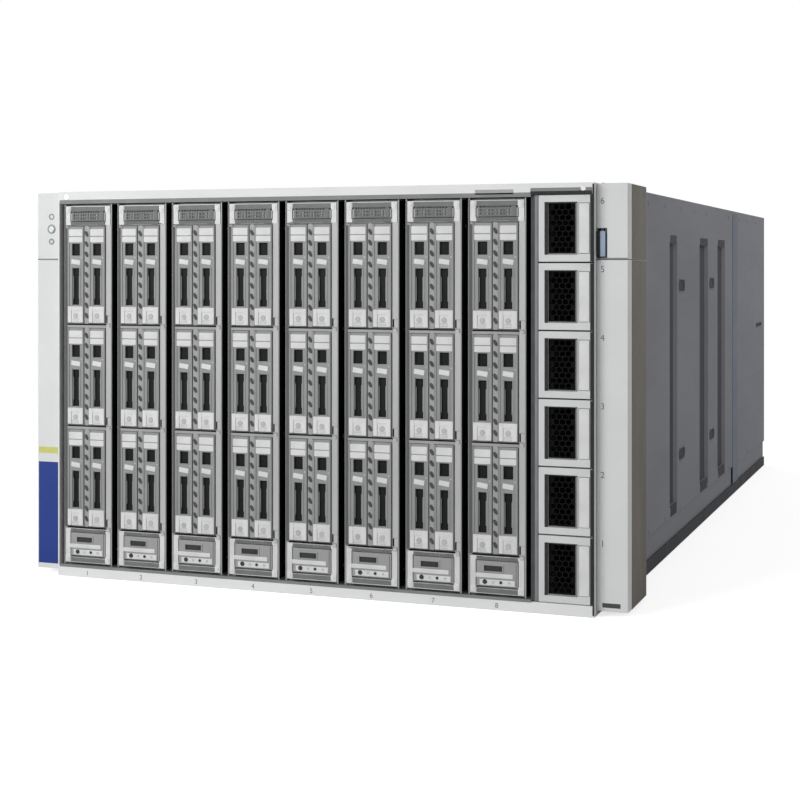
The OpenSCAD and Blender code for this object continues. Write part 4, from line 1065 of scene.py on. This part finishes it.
class CHASSIS_OT_nodes(bpy.types.Operator):
    """Builds the eight compute nodes: fronts, drives, cases and inner parts"""

    bl_idname = "chassis.nodes"
    bl_label = "Compute Nodes"

    def execute(self, context):
        self.boxes = []
        meshes = parts_of("compute_node_1", self.sort, edge=0.25, plain=("bezel",))
        drives = Drives(self.boxes)
        looks = {"bezel": (bezel_steel, "node_steel"), "case": (node_sheet, "node_steel"),
                 "sinks": (cast_aluminium, "node_steel"), "board": (board_laminate, "circuit_board"),
                 "plugs": (black_plastic, "rotor_plastic")}
        for build in (carriers, latches, latch_marks, windows, spine, spine_vents, left_edge, right_edge,
                      seams, head, foot, foot_label, foot_ports, lamps, screws, gaskets, ribs):
            meshes[build.__name__], looks[build.__name__] = build(drives), build.look
        trims = [(end, build, build(f"{end}_lever_1"))
                 for end in ("top", "bottom") for build in (pads, bosses)]
        for i in range(1, NODES + 1):
            repeat(f"compute_node_{i}", f"node_{i}", meshes, looks, "bezel")
            dress(lever_enamel, 0.3, f"top_lever_{i}", f"bottom_lever_{i}")
            for end, build, mesh in trims:
                lever = f"{end}_lever_{i}"
                place(mesh, f"{end}_{build.__name__}_{i}", lever, *build.look, shift(lever, f"{end}_lever_1"))
        return {"FINISHED"}

    def sort(self, low, high):
        """Names a node's solid by its size; the drives are built anew, so only their boxes are kept."""
        size = [b - a for a, b in zip(low, high)]
        side_sheet = size[1] > 500 and size[0] < 3 and high[0] > (NODE_LOW[0] + NODE_HIGH[0]) / 2 + 20
        if size[1] > 300 and size[0] > 30 or side_sheet:
            return "case"
        if size[1] > 300:
            return "board"
        if size[1] > 105 and size[0] > 20:
            return "sinks"
        if size[1] > 90:
            self.boxes.append((low, high))
            return None
        return "bezel" if size[2] > 200 else "plugs"


# ---- Power path ----

# Width and height of a supply, and the left lower corner of its front, in the plane of its vent
SUPPLY_W, SUPPLY_H = SUPPLY_HIGH[0] - SUPPLY_LOW[0], SUPPLY_HIGH[2] - SUPPLY_LOW[2]
VENT_CORNER = (SUPPLY_LOW[0], SUPPLY_LOW[1] + 0.6, SUPPLY_LOW[2])
# Places of an inlet's pins about its middle, and half their thickness and height
PINS, PIN_HALF = ((-6.5, 3), (6.5, 3), (0, -5)), (1.15, 4.15)


@fitting(joint_rubber, "rotor_plastic", 0.08)
def supply_seams(bm):
    """Dark edging along a supply's right edge, beside its vent and above it."""
    blocks(bm, VENT_CORNER, (SUPPLY_W - 1.7, SUPPLY_W - 0.1, -0.6, 0.3, 0.2, SUPPLY_H - 0.2),
           (4.5, 6.9, -0.5, 0.3, 5.0, SUPPLY_H - 5.0),
           (4.5, SUPPLY_W - 10.9, -0.5, 0.3, SUPPLY_H - 5.7, SUPPLY_H - 5.0))


@fitting(rail_shade, "supply_metal", 0.08)
def vent_sides(bm):
    """Grey return of the sheet on the vent's right side and below it."""
    blocks(bm, VENT_CORNER, (SUPPLY_W - 12.2, SUPPLY_W - 10.9, -0.4, 0.3, 5.0, SUPPLY_H - 5.8),
           (7.0, SUPPLY_W - 12.4, -0.4, 0.3, 5.0, 5.9))


@fitting(nickel_plate, "inlet_steel", 0.3)
def inlet_pins(bm):
    """Nickel-plated blades of the six mains inlets."""
    low, high = box_mm("power_entry_module")
    x, (across, up) = (low[0] + high[0]) / 2, PIN_HALF
    for i in range(1, SUPPLIES + 1):
        a, b = box_mm(f"power_supply_{i}")
        for dx, dz in PINS:
            blocks(bm, (x + dx, high[1], (a[2] + b[2]) / 2 + dz), (-across, across, -22.8, -5.8, -up, up))


class CHASSIS_OT_power(bpy.types.Operator):
    """Dresses the power supplies, the backplane, the bus bars and the mains inlets"""

    bl_idname = "chassis.power"
    bl_label = "Power Path"

    def execute(self, context):
        meshes = parts_of("power_supply_1", self.sort, edge=0.3)
        meshes.update(seams=supply_seams(), vent_sides=vent_sides())
        looks = {"face": (supply_enamel, "supply_metal"), "latch": (latch_plastic, "light_grey_plastic"),
                 "mesh": (black_mesh, "rotor_plastic"), "case": (node_sheet, "node_steel"),
                 "seams": supply_seams.look, "vent_sides": vent_sides.look}
        for i in range(1, SUPPLIES + 1):
            repeat(f"power_supply_{i}", f"supply_{i}", meshes, looks, "face")
        fit(inlet_pins)
        plastic = (black_plastic, "rotor_plastic")
        stand_for("power_backplane", lambda low, high: "board" if high[2] - low[2] > 100 else "sockets",
                  {"board": (board_laminate, "circuit_board"), "sockets": plastic}, "chassis")
        stand_for("power_busbar", lambda low, high: "bars" if high[0] - low[0] > 100 else "plugs",
                  {"bars": (rolled_copper, "copper_bar"), "plugs": plastic}, "chassis")
        stand_for("power_entry_module", lambda low, high: "case" if high[2] - low[2] > 100 else "rims",
                  {"case": (bright_zinc, "inlet_steel"), "rims": plastic}, "chassis")
        return {"FINISHED"}

    @staticmethod
    def sort(low, high):
        if high[1] - low[1] > 100:
            return "case"
        if high[1] - low[1] < 1.5:
            return "mesh"
        return "face" if high[0] - low[0] > 20 else "latch"


# ---- Rear modules ----

# How far the modules' pull handles stand out of their faces
REACH = 14
# Place of a module's corner screws, from its sides and from its foot and head
SCREW_IN, SCREW_UP = 7, 6.5


@fitting(nickel_plate, "module_steel", 0.1)
def module_screws(bm, node):
    """Captive screws with slotted heads in a module's corners."""
    low, high = box_mm(node)
    face, reach = high[1] - REACH, 3.0 if high[0] - low[0] > 100 else 1.9
    for x in (low[0] + SCREW_IN, high[0] - SCREW_IN):
        for z in (low[2] + SCREW_UP, high[2] - SCREW_UP):
            rod(bm, (0, 1, 0), (x, face - 0.1, z), reach, reach * 0.6, tip=reach * 0.85)
            blocks(bm, (x, face, z), (-0.8 * reach, 0.8 * reach, 0.5 * reach, 0.6 * reach, -0.3, 0.3))


@fitting(clear_plastic, "button_plastic")
def module_lamps(bm, node):
    """Two small lamps beside a module's lower screw, on its left seen from the rear."""
    low, high = box_mm(node)
    for x in (high[0] - 15, high[0] - 20):
        rod(bm, (0, 1, 0), (x, high[1] - REACH - 0.1, low[2] + SCREW_UP), 1.1, 0.6, 16, tip=0.8)


class CHASSIS_OT_rear(bpy.types.Operator):
    """Dresses the fans, the fabric modules and the expansion modules"""

    bl_idname = "chassis.rear"
    bl_label = "Rear Modules"

    def execute(self, context):
        looks = {"housing": (black_plastic, "fan_plastic"), "guard": (nickel_plate, "module_steel"),
                 "motor": (black_plastic, "fan_plastic"), "handle": (handle_plastic, "fan_plastic"),
                 "case": (bright_zinc, "module_steel"), "plugs": (black_plastic, "rotor_plastic")}
        for family, sort, count in (("fan_module", self.sort_fan, FANS),
                                    ("fabric_module", self.sort_box, PAIRS),
                                    ("expansion_module", self.sort_box, PAIRS)):
            for i in range(1, count + 1):
                node = f"{family}_{i}"
                stand_for(node, sort, looks)
                place(module_screws(node), f"{node}_screws", node, *module_screws.look)
                place(module_lamps(node), f"{node}_lamps", node, *module_lamps.look)
        dress(black_plastic, 0, *(f"fan_rotor_{i}" for i in range(1, FANS + 1)))
        return {"FINISHED"}

    @staticmethod
    def sort_fan(low, high):
        if high[1] - low[1] > 50:
            return "housing"
        height = high[2] - low[2]
        return "guard" if height > 60 else "motor" if height > 20 else "handle"

    @staticmethod
    def sort_box(low, high):
        if high[0] - low[0] > 100:
            return "case"
        return "handle" if low[1] > 869 and high[1] - low[1] < 12.5 else "plugs"


# ---- Markings ----

# Lower and upper edge of the overlay's field and of its stripe, and the film's inset at the sides
FIELD, STRIPE, INSET = (8, 89.5), (96.5, 101.5), 1.2
# Sizes of the numerals under the nodes and beside the supplies
NODE_MARK, SUPPLY_MARK = 5.2, 6.4


class CHASSIS_OT_markings(bpy.types.Operator):
    """Adds the overlay on the left side panel and the slot numerals"""

    bl_idname = "chassis.markings"
    bl_label = "Overlay and Numerals"

    def execute(self, context):
        self.film("overlay_field", *FIELD, blue_film)
        self.film("overlay_stripe", *STRIPE, lime_film)
        for i in range(1, NODES + 1):
            low, high = box_mm(f"compute_node_{i}")
            spot = ((low[0] + high[0]) / 2, FRAME_LOW[1], 3.4)
            self.numeral(f"slot_mark_{i}", i, spot, NODE_MARK, "chassis")
        corner = box_mm("right_side_panel")[0]
        for i in range(1, SUPPLIES + 1):
            top = box_mm(f"power_supply_{i}")[1][2]
            body = "chassis" if i == SUPPLIES else "right_side_panel"
            spot = (corner[0] + 4.2, corner[1], top - 4.5)
            self.numeral(f"supply_mark_{i}", i, spot, SUPPLY_MARK, body)
        return {"FINISHED"}

    @staticmethod
    def film(name, z0, z1, recipe):
        """Adds a film over the left side panel, between two heights."""
        low, high = box_mm("left_side_panel")
        bm = bmesh.new()
        solid(bm, (low[0] + INSET, -0.12, z0), (high[0] - INSET, 0.2, z1))
        place(close(bm, name, 0.05), name, "left_side_panel", recipe, "label_plastic")

    @staticmethod
    def numeral(name, number, spot, size, body):
        """Adds a printed numeral about a spot."""
        curve = bpy.data.curves.new(name, "FONT")
        curve.body = str(number)
        curve.size = size * MM
        curve.align_x = "CENTER"
        curve.align_y = "CENTER"
        curve.extrude = 0.03 * MM
        piece = bpy.data.objects.new(name, curve)
        bpy.context.scene.collection.objects.link(piece)
        piece.location = Vector(spot) * MM
        piece.rotation_euler = (math.pi / 2, 0, 0)
        curve.materials.append(material(grey_ink))
        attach(piece, body)


# ---- Stage ----

# Half the floor's side, the middle of the white run-out, and where it begins and ends around that
FLOOR_HALF_M, RUN_OUT_MIDDLE_M, RUN_OUT_M = 12, (0, 0.45, 0), (0.7, 1.5)
# Glow of the floor near the object, and strength of the world's light on dull surfaces
GLOW, SURROUND = 0.7, 0.38
CAMERA_SPOT_M, CAMERA_TURN = (0.4698, -1.0802, 0.2480), 20.28
LENS, SENSOR, CAMERA_SHIFT = 70.2, 36, -0.169
# Name, place, aim, side and power of each lamp, in metres and watts
LAMPS = (("key_light", (-1.25, -1.9, 1.05), (-0.05, 0, 0.15), 1.6, 40),
         ("rear_light", (1.6, 1.3, 0.8), (0.22, 0.8, 0.15), 1.4, 5))


def pale_floor(tree):
    # Matt white laminate that keeps the soft shadow near the object and runs out into white
    where = add(tree, "ShaderNodeNewGeometry")
    centre = add(tree, "ShaderNodeVectorMath", {0: where.outputs["Position"], 1: RUN_OUT_MIDDLE_M},
                 operation="SUBTRACT")
    reach = add(tree, "ShaderNodeVectorMath", {0: centre.outputs[0]}, operation="LENGTH")
    far = add(tree, "ShaderNodeMapRange", {"Value": reach.outputs["Value"], "From Min": RUN_OUT_M[0],
                                           "From Max": RUN_OUT_M[1]})
    path = add(tree, "ShaderNodeLightPath")
    body = add(tree, "ShaderNodeBsdfDiffuse", {"Color": (0.8, 0.8, 0.8, 1)})
    glow = add(tree, "ShaderNodeEmission", {"Color": (1, 1, 1, 1), "Strength": GLOW})
    near = add(tree, "ShaderNodeAddShader", {0: body.outputs[0], 1: glow.outputs[0]})
    white = add(tree, "ShaderNodeEmission", {"Color": (1, 1, 1, 1), "Strength": 1.0})
    seen = add(tree, "ShaderNodeMixShader", {0: far.outputs[0], 1: near.outputs[0], 2: white.outputs[0]})
    mix = add(tree, "ShaderNodeMixShader", {0: path.outputs["Is Camera Ray"], 1: body.outputs[0],
                                            2: seen.outputs[0]})
    add(tree, "ShaderNodeOutputMaterial", {"Surface": mix.outputs[0]})


class CHASSIS_OT_stage(bpy.types.Operator):
    """Adds the pale floor, the soft light and the camera"""

    bl_idname = "chassis.stage"
    bl_label = "Floor, Light and Camera"

    def execute(self, context):
        scene = context.scene
        scene.view_settings.view_transform = "Standard"
        self.world(scene)
        self.floor()
        for lamp in LAMPS:
            self.lamp(*lamp)
        camera = bpy.data.cameras.new("camera")
        camera.lens = LENS
        camera.sensor_width = SENSOR
        camera.shift_y = CAMERA_SHIFT
        holder = bpy.data.objects.new("camera", camera)
        scene.collection.objects.link(holder)
        holder.location = CAMERA_SPOT_M
        holder.rotation_euler = (math.pi / 2, 0, math.radians(CAMERA_TURN))
        scene.camera = holder
        return {"FINISHED"}

    @staticmethod
    def world(scene):
        """Plain soft surround; the camera, shiny surfaces and clear ones see it white."""
        world = bpy.data.worlds.new("surround")
        scene.world = world
        world.use_nodes = True
        tree = world.node_tree
        tree.nodes.clear()
        path = add(tree, "ShaderNodeLightPath")
        seen = path.outputs["Is Camera Ray"]
        for ray in ("Is Glossy Ray", "Is Transmission Ray"):
            seen = add(tree, "ShaderNodeMath", {0: seen, 1: path.outputs[ray]},
                       operation="MAXIMUM").outputs[0]
        power = add(tree, "ShaderNodeMapRange", {"Value": seen, "To Min": SURROUND, "To Max": 1.0})
        sky = add(tree, "ShaderNodeBackground", {"Color": (1, 1, 1, 1), "Strength": power.outputs[0]})
        add(tree, "ShaderNodeOutputWorld", {"Surface": sky.outputs[0]})

    @staticmethod
    def floor():
        """Wide floor at the underside of the body."""
        bm = bmesh.new()
        bmesh.ops.create_grid(bm, x_segments=1, y_segments=1, size=FLOOR_HALF_M)
        mesh = bpy.data.meshes.new("floor")
        bm.to_mesh(mesh)
        bm.free()
        mesh.materials.append(material(pale_floor))
        floor = bpy.data.objects.new("floor", mesh)
        bpy.context.scene.collection.objects.link(floor)

    @staticmethod
    def lamp(name, spot, aim, size, watts):
        """Adds a square soft box that shines from a spot to an aim."""
        light = bpy.data.lights.new(name, "AREA")
        light.size = size
        light.energy = watts
        holder = bpy.data.objects.new(name, light)
        bpy.context.scene.collection.objects.link(holder)
        holder.location = spot
        holder.rotation_euler = (Vector(aim) - Vector(spot)).to_track_quat("-Z", "Y").to_euler()


STEPS = ("body", "front", "nodes", "power", "rear", "markings", "stage")


class CHASSIS_PT_panel(bpy.types.Panel):
    """Lists the steps in the sidebar"""

    bl_label = "Blade Chassis"
    bl_idname = "CHASSIS_PT_panel"
    bl_space_type = "VIEW_3D"
    bl_region_type = "UI"
    bl_category = "Blade Chassis"

    def draw(self, context):
        for name in ChassisSettings.__annotations__:
            self.layout.prop(context.scene.blade_chassis, name)
        for step in STEPS:
            self.layout.operator(f"chassis.{step}")


CLASSES = (ChassisSettings, CHASSIS_OT_body, CHASSIS_OT_front, CHASSIS_OT_nodes, CHASSIS_OT_power,
           CHASSIS_OT_rear, CHASSIS_OT_markings, CHASSIS_OT_stage, CHASSIS_PT_panel)


def register():
    for cls in CLASSES:
        bpy.utils.register_class(cls)
    bpy.types.Scene.blade_chassis = bpy.props.PointerProperty(type=ChassisSettings)


def unregister():
    del bpy.types.Scene.blade_chassis
    for cls in reversed(CLASSES):
        bpy.utils.unregister_class(cls)


def main():
    register()
    for step in STEPS:
        getattr(bpy.ops.chassis, step)()


if __name__ == "__main__":
    main()
